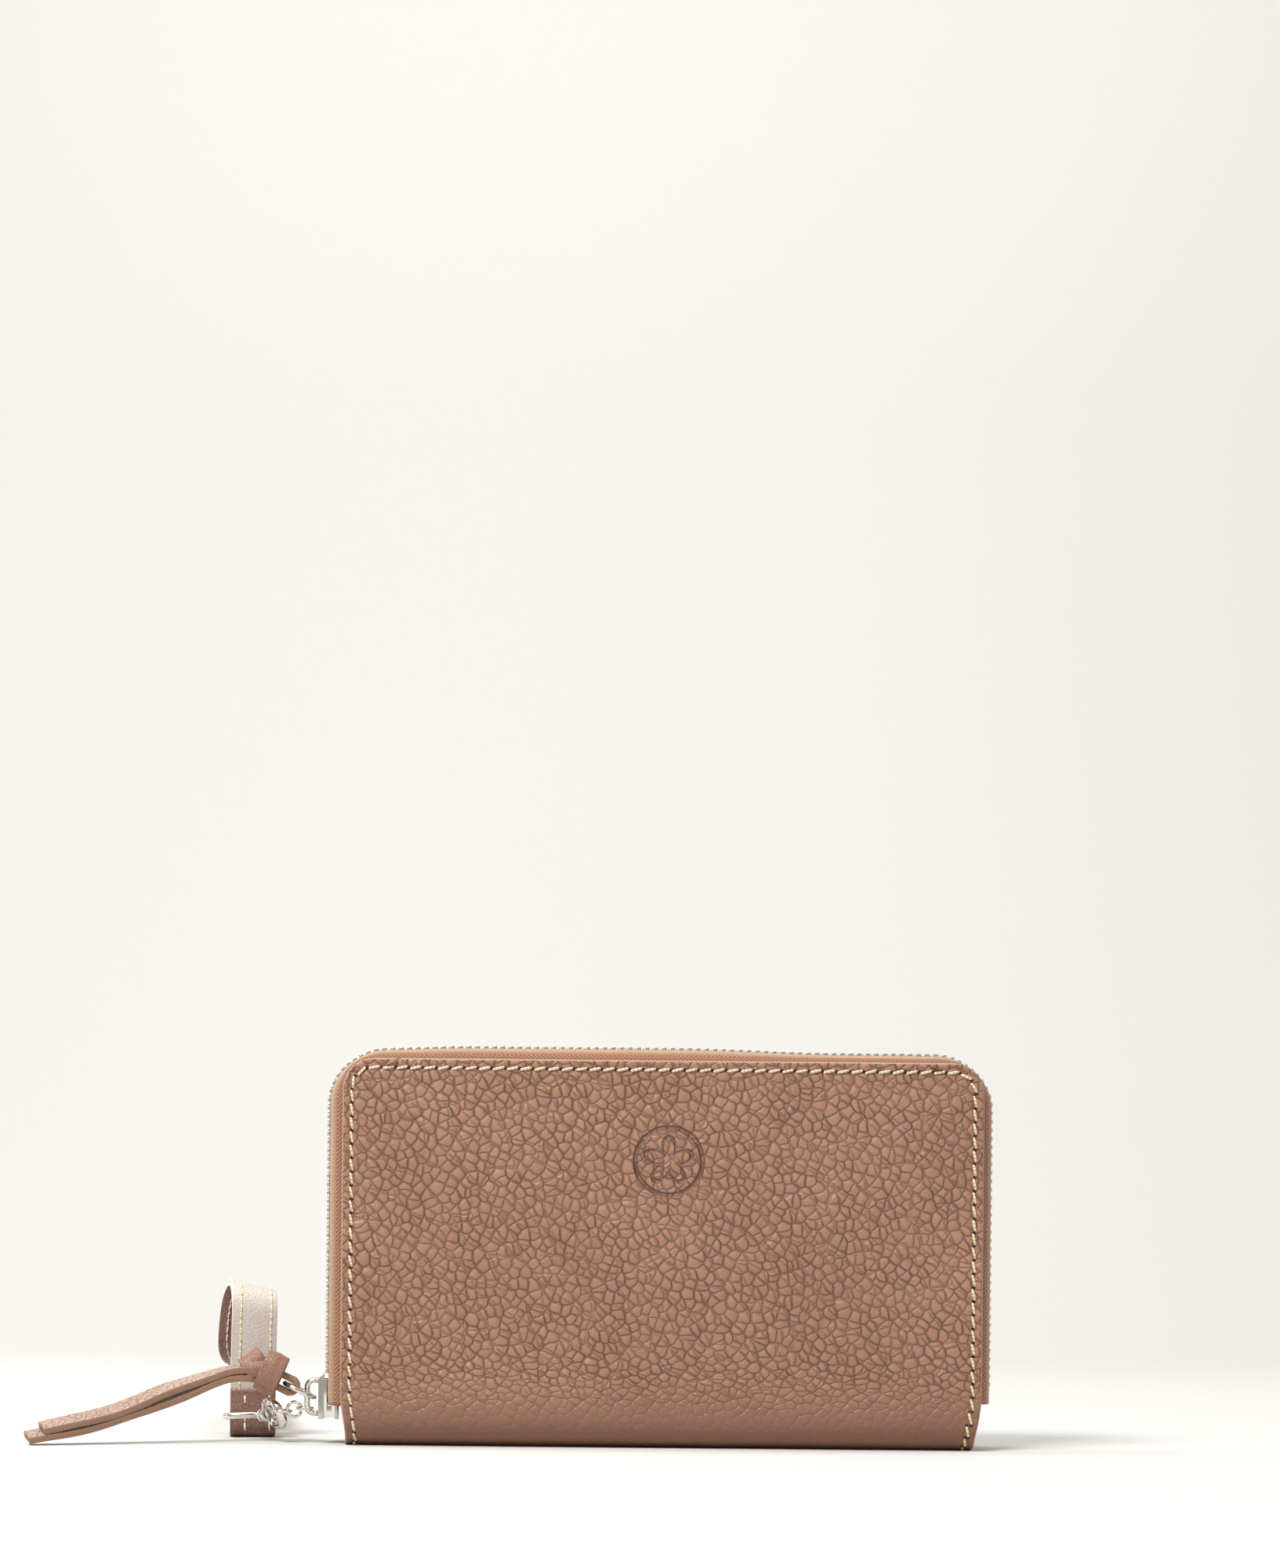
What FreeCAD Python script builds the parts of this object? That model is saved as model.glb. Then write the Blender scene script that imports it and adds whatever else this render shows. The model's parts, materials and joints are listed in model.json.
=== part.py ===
"""Zip-around wristlet wallet: leather covers on a U-shaped spine, a three-sided metal zip, a zipped coin
divider, card slots, side gussets, a knotted leather zip pull and a wrist strap on a swivel snap hook.

Frame: millimetres, +Z up, +X to the wallet's right, -Y to its front. The origin is the centre of the
spine's flat underside, so the closed wallet stands on Z = 0.
"""
import FreeCAD, Part
import math
import os

V = FreeCAD.Vector
UP = V(0, 0, 1)

# ---- driving dimensions -------------------------------------------------------------------------
HALF_W = 86.0          # half the width of a cover
TOP = 104.0            # height of a cover's top edge
DEPTH = 12.5           # half the closed thickness, to a cover's outer face
CORNER_R = 8.5         # rounding of a cover's two top corners
LEATHER_T = 1.7
SPINE_R = 8.0          # outer radius of the spine's two bends
SPINE_HALF_W = 84.5    # the leather is drawn in a little where it turns under
HINGE_Z = 10.0         # height at which a cover leaves the spine
GAP = 0.15             # between a cover's lower edge and the spine

BOARD_T, BOARD_MARGIN = 0.9, 8.0
LINING_T, LINING_MARGIN = 0.6, 0.8
LINING_Y = DEPTH - LEATHER_T - 0.9    # |y| of the lining's hidden face
INNER_Y = LINING_Y - LINING_T         # |y| of the lining's visible face

CHAIN_U = 3.0          # how far the zip's chain stands outside the cover's outline
TAPE_T = 0.7
TAPE_Z0 = 10.6         # where the tapes start above the surface
TAPE_EDGE = 0.9        # |y| of a tape's edge, just short of the other row's heads
TOOTH_PITCH = 2.3
TEETH_Z0_LEFT = 19.6   # the last teeth, just above the parked slider
TEETH_Z0_RIGHT = 17.0

DIVIDER_HALF_W = 74.0
DIVIDER_Y = 1.5        # half the coin divider's thickness
WALL_T = 0.6
DIVIDER_Z0, DIVIDER_Z1 = 2.4, 91.0
COIN_ZIP_Z = 82.0      # centreline of the coin pocket's zip

STRAP_W = 12.7
STRAP_LAYER_T = 1.1    # the strap is two layers, back to back
TAB_T = 1.6

PARTS = {}


def keep(name, shape):
    """Files a shape under its node name, after checking that it is made of sound solids."""
    solids = shape.Solids
    if not solids or not all(s.isValid() and s.Volume > 0 for s in solids):
        raise ValueError(name + " isn't made of valid solids")
    PARTS[name] = solids[0] if len(solids) == 1 else Part.Compound(solids)
    return PARTS[name]


# ---- shapes used more than once -----------------------------------------------------------------
def block(x0, x1, y0, y1, z0, z1):
    return Part.makeBox(x1 - x0, y1 - y0, z1 - z0, V(x0, y0, z0))


def rod(radius, start, end):
    return Part.makeCylinder(radius, (end - start).Length, start, end - start)


def slab(half_w, z0, z1, radius, y0, y1):
    """A flat panel facing Y whose two top corners are rounded."""
    k = radius * math.sqrt(0.5)
    cx, cz = half_w - radius, z1 - radius
    edges = [
        Part.LineSegment(V(-half_w, y0, z0), V(half_w, y0, z0)).toShape(),
        Part.LineSegment(V(half_w, y0, z0), V(half_w, y0, cz)).toShape(),
        Part.Arc(V(half_w, y0, cz), V(cx + k, y0, cz + k), V(cx, y0, z1)).toShape(),
        Part.LineSegment(V(cx, y0, z1), V(-cx, y0, z1)).toShape(),
        Part.Arc(V(-cx, y0, z1), V(-cx - k, y0, cz + k), V(-half_w, y0, cz)).toShape(),
        Part.LineSegment(V(-half_w, y0, cz), V(-half_w, y0, z0)).toShape(),
    ]
    return Part.Face(Part.Wire(edges)).extrude(V(0, y1 - y0, 0))


def polygon(points):
    return Part.Face(Part.makePolygon(list(points) + [points[0]]))


def round_the_cover(profile, z_left, z_right):
    """Sweeps a section of (outward offset, y) points up the left side, over the top and down the right."""
    cx, cz = HALF_W - CORNER_R, TOP - CORNER_R

    def section(side, z):
        return polygon([V(side * (HALF_W + u), y, z) for u, y in profile])

    left = section(-1, z_left).extrude(V(0, 0, cz - z_left))
    right = section(1, z_right).extrude(V(0, 0, cz - z_right))
    bend_left = section(-1, cz).revolve(V(-cx, 0, cz), V(0, 1, 0), 90)
    bend_right = section(1, cz).revolve(V(cx, 0, cz), V(0, -1, 0), 90)
    top = polygon([V(-cx, y, TOP + u) for u, y in profile]).extrude(V(2 * cx, 0, 0))
    return left.fuse([bend_left, top, bend_right, right]).removeSplitter()


def chain_places(start):
    """(point, outward direction, along direction) of every tooth, beginning that far up the left side."""
    cx, cz = HALF_W - CORNER_R, TOP - CORNER_R
    bend_r = CORNER_R + CHAIN_U
    rise, bend, across = cz - TEETH_Z0_LEFT, bend_r * math.pi / 2, 2 * cx
    fall = cz - TEETH_Z0_RIGHT
    places, s = [], start
    while s < rise + bend + across + bend + fall:
        if s < rise:
            places.append((V(-HALF_W - CHAIN_U, 0, TEETH_Z0_LEFT + s), V(-1, 0, 0), V(0, 0, 1)))
        elif s < rise + bend:
            t = (s - rise) / bend_r
            out = V(-math.cos(t), 0, math.sin(t))
            places.append((V(-cx, 0, cz) + out * bend_r, out, V(math.sin(t), 0, math.cos(t))))
        elif s < rise + bend + across:
            places.append((V(-cx + s - rise - bend, 0, TOP + CHAIN_U), V(0, 0, 1), V(1, 0, 0)))
        elif s < rise + bend + across + bend:
            t = (s - rise - bend - across) / bend_r
            out = V(math.sin(t), 0, math.cos(t))
            places.append((V(cx, 0, cz) + out * bend_r, out, V(math.cos(t), 0, -math.sin(t))))
        else:
            z = cz - (s - rise - 2 * bend - across)
            places.append((V(HALF_W + CHAIN_U, 0, z), V(1, 0, 0), V(0, 0, -1)))
        s += TOOTH_PITCH
    return places


def framed(shape, origin, x, y, z):
    """The shape moved from the world's axes to the given ones."""
    made = shape.copy()
    rows = [(x.x, y.x, z.x, origin.x), (x.y, y.y, z.y, origin.y), (x.z, y.z, z.z, origin.z), (0, 0, 0, 1)]
    made.Placement = FreeCAD.Placement(FreeCAD.Matrix(*[value for row in rows for value in row]))
    return made


def path_edges(points, radii, closed=False):
    """Straight runs through the points, with each corner rounded by a tangent arc of its radius."""
    n = len(points)
    corners = range(n) if closed else range(1, n - 1)
    joins = {}
    for i in corners:
        a, p, b = points[i - 1], points[i], points[(i + 1) % n]
        to_a, to_b = (a - p).normalize(), (b - p).normalize()
        half = math.acos(max(-1.0, min(1.0, to_a.dot(to_b)))) / 2
        r = radii[i] if isinstance(radii, (list, tuple)) else radii
        back = r / math.tan(half)
        middle = p + (to_a + to_b).normalize() * (r / math.sin(half) - r)
        joins[i] = (p + to_a * back, middle, p + to_b * back)
    edges, here = [], joins[n - 1][2] if closed else points[0]
    for i in range(n if closed else n - 1):
        j = i if closed else i + 1
        end = joins[j][0] if j in joins else points[j]
        if (end - here).Length > 1e-6:
            edges.append(Part.LineSegment(here, end).toShape())
        if j in joins:
            edges.append(Part.Arc(*joins[j]).toShape())
            here = joins[j][2]
        else:
            here = end
    return edges


def tube(points, radii, wire_r, closed=False):
    """A round wire of that radius along the rounded path."""
    path = Part.Wire(path_edges(points, radii, closed))
    if closed:
        start = path.Edges[0]
        at = start.valueAt((start.FirstParameter + start.LastParameter) / 2)
        along = start.tangentAt((start.FirstParameter + start.LastParameter) / 2)
        first = Part.LineSegment(at, start.Vertexes[-1].Point).toShape()
        last = Part.LineSegment(start.Vertexes[0].Point, at).toShape()
        path = Part.Wire([first] + path.Edges[1:] + [last])
    else:
        at = points[0]
        along = points[1] - points[0]
    ring = Part.Wire(Part.makeCircle(wire_r, at, along))
    return path.makePipeShell([ring], True, False)


def band(points, radii, u, half_w, low, high):
    """A flat strip along a planar path: 2 x half_w wide along u, between two offsets from the path."""
    path = Part.Wire(path_edges(points, radii))
    along = (points[1] - points[0]).normalize()
    side = along.cross(u).normalize()
    p = points[0]
    places = ((-half_w, low), (half_w, low), (half_w, high), (-half_w, high))
    corners = [p + u * a + side * b for a, b in places]
    section = Part.makePolygon(corners + [corners[0]])
    return path.makePipeShell([section], True, True)


def ring(centre, normal, radius, wire_r):
    return Part.makeTorus(radius, wire_r, centre, normal)


# ---- covers: leather, stiffening board and lining -----------------------------------------------
def cover(side, name):
    """One cover of the wallet. side is -1 for the front and 1 for the back."""
    z0 = HINGE_Z + GAP
    y = sorted((side * DEPTH, side * (DEPTH - LEATHER_T)))
    keep(name + "_cover_leather", slab(HALF_W, z0, TOP, CORNER_R, *y))
    y = sorted((side * (DEPTH - LEATHER_T), side * LINING_Y))
    keep(
        name + "_cover_board",
        slab(HALF_W - BOARD_MARGIN, z0 + 1.0, TOP - BOARD_MARGIN, 3.0, *y),
    )
    y = sorted((side * LINING_Y, side * INNER_Y))
    keep(
        name + "_cover_lining",
        slab(HALF_W - LINING_MARGIN, z0, TOP - LINING_MARGIN, CORNER_R - LINING_MARGIN, *y),
    )


def spine():
    """The U-shaped bend of leather that joins the covers, and its lining."""

    def channel(inset, z_top, half_w, thickness):
        outer_y, r = DEPTH - inset, SPINE_R - inset
        flat = outer_y - r
        k = math.sqrt(0.5)

        def half_section(o):
            q = r - o
            return [
                (V(0, -outer_y + o, z_top), V(0, -outer_y + o, SPINE_R)),
                (
                    V(0, -outer_y + o, SPINE_R),
                    V(0, -flat - q * k, SPINE_R - q * k),
                    V(0, -flat, SPINE_R - q),
                ),
                (V(0, -flat, SPINE_R - q), V(0, flat, SPINE_R - q)),
                (
                    V(0, flat, SPINE_R - q),
                    V(0, flat + q * k, SPINE_R - q * k),
                    V(0, outer_y - o, SPINE_R),
                ),
                (V(0, outer_y - o, SPINE_R), V(0, outer_y - o, z_top)),
            ]

        def edge(points):
            maker = Part.LineSegment if len(points) == 2 else Part.Arc
            return maker(*points).toShape()

        outside = [edge(p) for p in half_section(0)]
        inside = [edge(p) for p in half_section(thickness)]
        rims = [
            Part.LineSegment(V(0, -outer_y, z_top), V(0, -outer_y + thickness, z_top)).toShape(),
            Part.LineSegment(V(0, outer_y, z_top), V(0, outer_y - thickness, z_top)).toShape(),
        ]
        face = Part.Face(Part.Wire(Part.__sortEdges__(outside + rims + inside)))
        face.translate(V(-half_w, 0, 0))
        return face.extrude(V(2 * half_w, 0, 0))

    keep("spine_leather", channel(0, HINGE_Z, SPINE_HALF_W, LEATHER_T))
    keep("spine_lining", channel(LEATHER_T, HINGE_Z, SPINE_HALF_W - LINING_MARGIN, 0.7))


# ---- the zip round three sides ------------------------------------------------------------------
def zip_tapes():
    """Two woven tapes: each is held in its cover's edge, slants out and runs flat to the chain."""
    flat_to, held_y = 5.0, DEPTH - LEATHER_T - 0.1
    t = TAPE_T / 2
    for side, name in ((-1, "front"), (1, "back")):
        profile = [
            (CHAIN_U - t, TAPE_EDGE),
            (CHAIN_U + t, TAPE_EDGE),
            (CHAIN_U + t, flat_to + 0.2),
            (0.6, held_y),
            (-6.5, held_y),
            (-6.5, held_y - TAPE_T),
            (0.2, held_y - TAPE_T),
            (CHAIN_U - t, flat_to - 0.2),
        ]
        tape = round_the_cover([(u, side * y) for u, y in profile], TAPE_Z0, TAPE_Z0 + 2.0)
        keep(name + "_zip_tape", tape)


def zip_teeth():
    """Metal teeth, each clamped on its tape's edge with a head that reaches between its neighbours'."""
    head_t, clamp_t = 0.84, 1.2
    head_reach, shoulder, foot = 0.7, 0.95, 3.0
    thick, head_thick = 2.4, 1.8
    slot_half = TAPE_T / 2 + 0.03    # a little room, because the tape is curved at the corners
    for side, name, start in ((-1, "front", 0.0), (1, "back", TOOTH_PITCH / 2)):
        # local axes: x outward, y towards the other tape, z along the chain
        clamp = block(-thick / 2, thick / 2, -foot, -shoulder, -clamp_t / 2, clamp_t / 2)
        slot = block(-slot_half, slot_half, -foot - 1, -TAPE_EDGE + 0.05, -clamp_t, clamp_t)
        head = block(-head_thick / 2, head_thick / 2, -shoulder, head_reach, -head_t / 2, head_t / 2)
        tooth = clamp.fuse(head).cut(slot).removeSplitter()
        teeth = []
        for point, out, along in chain_places(start):
            # a cross product gives the third axis; the front and back rows face each other
            toward = V(0, -side, 0)
            axis_z = out.cross(toward)
            teeth.append(framed(tooth, point, out, toward, axis_z))
        keep(name + "_zip_teeth", Part.Compound(teeth))


def zip_stops():
    """The small clips that end the chain: one on each tape at the closed end, one at the open end."""
    stop_half = 0.58    # thin enough to leave sideways between the slider's edges
    for side, name in ((-1, "front"), (1, "back")):
        x = -HALF_W - CHAIN_U
        clip = block(x - stop_half, x + stop_half, 0.5, 2.6, 11.0, 12.6)
        clip = clip.cut(block(x - TAPE_T / 2, x + TAPE_T / 2, TAPE_EDGE, 3, 10, 14))
        if side < 0:
            clip = clip.mirror(V(0, 0, 0), V(0, 1, 0))
        keep(name + "_zip_stop", clip)
    x = HALF_W + CHAIN_U
    clip = block(x - 1.1, x + 1.1, 0.4, 3.0, 13.4, 15.8)
    keep("zip_end_clip", clip.cut(block(x - TAPE_T / 2, x + TAPE_T / 2, TAPE_EDGE, 4, 12, 17)))


SLIDER_X = -HALF_W - CHAIN_U   # the chain's plane at the slider
SLIDER_Z0, SLIDER_Z1 = 6.6, 19.0
PLATE_IN, PLATE_OUT = 1.5, 3.0 # from the chain's plane to a plate's inner and outer face
ARCH_X = SLIDER_X - 6.15       # centreline of the arch that the pull hangs on
ARCH_WIRE = 0.75


def slider():
    """The zip slider: two plates with turned-in edges, joined by a post, and an arch on top."""
    rear, mouth = 4.2, 5.0

    def plate(x0, x1, grow):
        flat = polygon(
            [
                V(x0, -mouth - grow, SLIDER_Z0 + 1.5),
                V(x0, -mouth + 1.6, SLIDER_Z0),
                V(x0, mouth - 1.6, SLIDER_Z0),
                V(x0, mouth + grow, SLIDER_Z0 + 1.5),
                V(x0, rear + grow, SLIDER_Z1 - 1.2),
                V(x0, rear - 1.2, SLIDER_Z1),
                V(x0, -rear + 1.2, SLIDER_Z1),
                V(x0, -rear - grow, SLIDER_Z1 - 1.2),
            ]
        )
        return flat.extrude(V(x1 - x0, 0, 0))

    outer = plate(SLIDER_X - PLATE_OUT, SLIDER_X - PLATE_IN, 0.0)
    inner = plate(SLIDER_X + PLATE_IN, SLIDER_X + 2.5, 0.0)
    edges = []
    for side in (-1, 1):
        y = sorted((side * 3.25, side * 4.6))
        for x0, x1 in ((-PLATE_IN, -0.65), (0.65, PLATE_IN)):
            edges.append(block(SLIDER_X + x0, SLIDER_X + x1, y[0], y[1], SLIDER_Z0 + 1.8, SLIDER_Z1 - 1.6))
    post = block(SLIDER_X - PLATE_IN, SLIDER_X + PLATE_IN, -0.35, 0.35, SLIDER_Z0 + 0.2, SLIDER_Z0 + 3.4)
    keep("zip_slider", outer.fuse([inner, post] + edges).removeSplitter())

    foot_x = SLIDER_X - PLATE_OUT
    low, high = SLIDER_Z0 + 1.4, SLIDER_Z1 - 2.0
    corners = [(foot_x, low), (ARCH_X, low), (ARCH_X, high), (foot_x, high)]
    keep("slider_arch", tube([V(x, 0, z) for x, z in corners], 1.8, ARCH_WIRE))


# ---- knotted leather pull -----------------------------------------------------------------------
PULL_TILT = math.radians(25.3)
RING_R, RING_WIRE = 4.45, 0.65
RING_X = ARCH_X - 2.05
RING_Z = 14.2
PULL_HALF_W = 3.6
PULL_T = 1.8
KNOT_X, KNOT_Z = (-114.0, -102.0), (13.2, 25.6)
KNOT_HALF_Y, KNOT_ROUND = 5.4, 3.6
# the doubled tail's centreline from the knot to its tips, as (distance from TAIL_ROOT, z)
TAIL_ROOT = -112.0
TAIL = ((-1.5, 18.6), (10.1, 17.0), (20.2, 13.2), (29.8, 9.2), (40.4, 5.8), (50.0, 3.6), (60.0, 1.95))
TAIL_YAW = 20.0        # degrees by which the tails lie towards the front
TAIL_GAP = 0.12        # from the centreline to each tail
UPPER_TAIL_SHORTER = 3.8


def pull():
    """A jump ring through the slider's arch, and a leather strip doubled through it and knotted."""
    tilt_x = V(-math.cos(PULL_TILT), 0, math.sin(PULL_TILT))   # from the arch towards the knot
    normal = V(math.sin(PULL_TILT), 0, math.cos(PULL_TILT))
    centre = V(RING_X, 0, RING_Z)
    keep("pull_ring", ring(centre, normal, RING_R, RING_WIRE))

    far_wire = centre + tilt_x * RING_R
    inner_r = RING_WIRE + 0.5
    outer_r = inner_r + 1.5
    loop_half = 2.5

    def stadium(r, reach_in, reach_out):
        ends = [far_wire - tilt_x * reach_in, far_wire + tilt_x * reach_out]
        low, high = ends[0], ends[1]
        a, b = low - normal * r, low + normal * r
        c, d = high + normal * r, high - normal * r
        edges = [
            Part.Arc(a, low - tilt_x * r, b).toShape(),
            Part.LineSegment(b, c).toShape(),
            Part.Arc(c, high + tilt_x * r, d).toShape(),
            Part.LineSegment(d, a).toShape(),
        ]
        face = Part.Face(Part.Wire(edges))
        face.translate(V(0, -loop_half, 0))
        return face.extrude(V(0, 2 * loop_half, 0))

    loop = stadium(outer_r, 1.6, 2.0).cut(stadium(inner_r, 1.6, 0.4))
    keep("pull_loop", loop)

    # the knot is a chunky pillow that the loop enters on one side and the tails leave on the other
    knot = block(*KNOT_X, -KNOT_HALF_Y, KNOT_HALF_Y, *KNOT_Z)
    knot = knot.makeFillet(KNOT_ROUND, knot.Edges)
    # the loop's outline is cut away with a little room, so that the two stay apart
    bite = stadium(outer_r + 0.05, 1.6, 2.05)
    keep("pull_knot", knot.cut(bite))

    def tail(low, high, shorter):
        points = [V(TAIL_ROOT - reach, 0, z) for reach, z in TAIL]
        last_run = points[-1] - points[-2]
        points[-1] = points[-1] - last_run.normalize() * shorter
        strip = band(points, 12.0, V(0, 1, 0), PULL_HALF_W, low, high)
        strip.rotate(V(TAIL_ROOT, 0, 0), UP, TAIL_YAW)
        return largest(strip.cut(PARTS["pull_knot"]))

    keep("pull_tail_upper", tail(-TAIL_GAP - PULL_T, -TAIL_GAP, UPPER_TAIL_SHORTER))
    keep("pull_tail_lower", tail(TAIL_GAP, TAIL_GAP + PULL_T, 0.0))


def largest(shape):
    return max(shape.Solids, key=lambda s: s.Volume)


# ---- chain, snap hook and wrist strap -----------------------------------------------------------
LINK_RADII, LINK_WIRE = (2.0, 2.0, 2.45), 0.45
LINK_PLACES = (0.0, 2.98, 6.41)    # centres along the chain, so that the wires hang 0.1 apart
CHAIN_DIR = V(-0.95, -0.3122, 0).normalize()
CHAIN_Z = 9.4
LINK_DROP = 0.35      # how much lower each link hangs than the one before
FIRST_LINK = V(ARCH_X, 0, CHAIN_Z) + CHAIN_DIR * 0.6

CLASP_YAW = math.radians(20)
CLASP_DIP = 0.09
# from the hook's tip to the eye
CLASP_A = V(-math.sin(CLASP_YAW), math.cos(CLASP_YAW), -CLASP_DIP).normalize()
CLASP_U = V(math.cos(CLASP_YAW), math.sin(CLASP_YAW), 0)                        # along the eye's bar
CLASP_W = CLASP_A.cross(CLASP_U).normalize()
CLASP_TIP = FIRST_LINK + CHAIN_DIR * 6.9 + V(0, 0, -LINK_DROP * 2 - 0.6)
HOOK_LEAN = math.radians(-25)    # how far the hook's plane leans over from upright
HOOK_B = (CLASP_U * math.sin(HOOK_LEAN) - CLASP_W * math.cos(HOOK_LEAN)).normalize()
HOOK_N = CLASP_A.cross(HOOK_B).normalize()
HOOK_R, HOOK_WIRE = 3.4, 0.9
HOOK_LENGTH = 12.4
PIVOT_A = 9.0
EYE_BAR = 26.6                  # from the hook's tip to the eye's bar
EYE_HALF_W = 8.6
EYE_WIRE = 0.95


def chain():
    """Three small links: flat, upright, flat."""
    for n, (radius, place) in enumerate(zip(LINK_RADII, LINK_PLACES)):
        centre = FIRST_LINK + CHAIN_DIR * place - UP * (LINK_DROP * n)
        normal = UP if n % 2 == 0 else CHAIN_DIR.cross(UP)
        keep("chain_link_%d" % (n + 1), ring(centre, normal, radius, LINK_WIRE))


def snap_hook():
    """The hook with its sprung gate, made in its own frame: x from tip to eye, y across the hook."""

    def placed(shape):
        return framed(shape, CLASP_TIP, CLASP_A, HOOK_B, HOOK_N)

    gate_a0, gate_a1 = 2.7, 9.9
    back = HOOK_LENGTH - HOOK_R
    k = math.sqrt(0.5)
    tip_c, base_c = V(HOOK_R, 0, 0), V(back, 0, 0)
    line = Part.Wire(
        [
            Part.Arc(
                V(gate_a0, math.sqrt(HOOK_R**2 - (HOOK_R - gate_a0) ** 2), 0),
                V(0, 0, 0),
                V(HOOK_R, -HOOK_R, 0),
            ).toShape(),
            Part.LineSegment(V(HOOK_R, -HOOK_R, 0), V(back, -HOOK_R, 0)).toShape(),
            Part.Arc(V(back, -HOOK_R, 0), base_c + V(k, -k, 0) * HOOK_R, V(HOOK_LENGTH, 0, 0)).toShape(),
            Part.Arc(V(HOOK_LENGTH, 0, 0), base_c + V(k, k, 0) * HOOK_R, V(back, HOOK_R, 0)).toShape(),
        ]
    )
    first = line.Edges[0]
    start = first.valueAt(first.FirstParameter)
    along = first.tangentAt(first.FirstParameter)
    body = line.makePipeShell([Part.Wire(Part.makeCircle(HOOK_WIRE, start, along))], True, False)
    collar = rod(2.1, V(HOOK_LENGTH - 0.8, 0, 0), V(HOOK_LENGTH + 2.6, 0, 0))
    ears = [rod(1.3, V(PIVOT_A, HOOK_R, z), V(PIVOT_A, HOOK_R, z + 0.45)) for z in (-1.1, 0.65)]
    body = body.fuse([collar] + ears)
    bore = rod(0.97, V(HOOK_LENGTH - 3, 0, 0), V(HOOK_LENGTH + 4, 0, 0))
    room = rod(1.75, V(HOOK_LENGTH - 3.4, 0, 0), V(HOOK_LENGTH - 0.85, 0, 0))
    gate_room = block(gate_a0 - 1.5, gate_a1 + 0.3, HOOK_R - 2.6, HOOK_R + 3, -0.65, 0.65)
    pin_hole = rod(0.5, V(PIVOT_A, HOOK_R, -2), V(PIVOT_A, HOOK_R, 2))
    pivot_room = rod(2.4, V(PIVOT_A, HOOK_R, -2), V(PIVOT_A, HOOK_R, 2))
    body = body.cut(bore).cut(room).cut(gate_room.common(pivot_room))
    body = largest(body.cut(pin_hole))
    keep("hook_body", placed(body))
    keep("hook_pin", placed(rod(0.5, V(PIVOT_A, HOOK_R, -1.2), V(PIVOT_A, HOOK_R, 1.2))))

    arm = block(gate_a0 + 0.35, PIVOT_A, HOOK_R - 0.7, HOOK_R + 0.7, -0.55, 0.55)
    hub = rod(1.1, V(PIVOT_A, HOOK_R, -0.55), V(PIVOT_A, HOOK_R, 0.55))
    nub = block(gate_a0 + 2.2, gate_a0 + 3.4, HOOK_R + 0.6, HOOK_R + 1.4, -0.55, 0.55)
    hole = rod(0.56, V(PIVOT_A, HOOK_R, -2), V(PIVOT_A, HOOK_R, 2))
    keep("hook_gate", placed(arm.fuse([hub, nub]).cut(hole).removeSplitter()))


def swivel_eye():
    """The D-shaped eye and the swivel pin whose head is held inside the hook's collar."""

    def placed(shape):
        return framed(shape, CLASP_TIP, CLASP_A, CLASP_U, CLASP_W)

    near = HOOK_LENGTH + 6.0
    corners = [
        V(near, -3.6, 0),
        V(near, 3.6, 0),
        V(near + 2.4, EYE_HALF_W, 0),
        V(EYE_BAR, EYE_HALF_W, 0),
        V(EYE_BAR, -EYE_HALF_W, 0),
        V(near + 2.4, -EYE_HALF_W, 0),
    ]
    frame = tube(corners, [1.8, 1.8, 2.2, 1.2, 1.2, 2.2], EYE_WIRE, closed=True)
    pin = rod(0.9, V(HOOK_LENGTH - 1.2, 0, 0), V(near, 0, 0))
    head = rod(1.45, V(HOOK_LENGTH - 1.8, 0, 0), V(HOOK_LENGTH - 1.0, 0, 0))
    ball = Part.makeSphere(1.9, V(HOOK_LENGTH + 4.65, 0, 0))
    keep("swivel_eye", placed(frame.fuse([pin, head, ball]).removeSplitter()))


STRAP_YAW = math.radians(4)
STRAP_U = V(math.cos(STRAP_YAW), math.sin(STRAP_YAW), 0)
STRAP_V = V(-math.sin(STRAP_YAW), math.cos(STRAP_YAW), 0)
BAR_CENTRE = CLASP_TIP + CLASP_A * EYE_BAR
TAB_SIDE = 3.75                 # the tab's two legs stand this far from the bar
TAB_TOP = 13.5
# the strap's loop as (distance behind the bar, height) with the radius of each bend
LOOP = [
    (-1.2, 7.6, 0),
    (-1.2, 42.1, 6.4),
    (11.8, 42.1, 6.4),
    (11.8, 30.0, 9.0),
    (26.0, 21.0, 18.0),
    (62.0, 18.5, 40.0),
    (93.0, 15.5, 6.4),
    (97.5, 1.2, 6.0),
    (20.0, 1.2, 14.0),
    (8.6, 21.0, 3.2),
    (1.2, 19.4, 3.4),
    (1.2, 7.6, 0),
]


def wrist_strap():
    """A two-layer strap whose sewn ends stand in a folded tab round the eye's bar."""
    base = V(BAR_CENTRE.x, BAR_CENTRE.y, 0)

    def at(v, z):
        return base + STRAP_V * v + UP * z

    side, t = TAB_SIDE, TAB_T / 2
    fold = [at(-side, TAB_TOP), at(-side, t), at(side, t), at(side, TAB_TOP)]
    keep("strap_tab", band(fold, side - 0.1, STRAP_U, STRAP_W / 2, -t, t))

    points = [at(v, z) for v, z, _ in LOOP]
    radii = [r for _, _, r in LOOP]
    layer = STRAP_LAYER_T
    first = band(points, radii, STRAP_U, STRAP_W / 2, 0.0, layer)
    second = band(points, radii, STRAP_U, STRAP_W / 2, -layer, 0.0)
    # the layer that is outermost over the top bend is the strap's outer leather
    outer, inner = (first, second) if first.BoundBox.ZMax > second.BoundBox.ZMax else (second, first)
    keep("strap_outer_leather", outer)
    keep("strap_inner_leather", inner)


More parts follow.
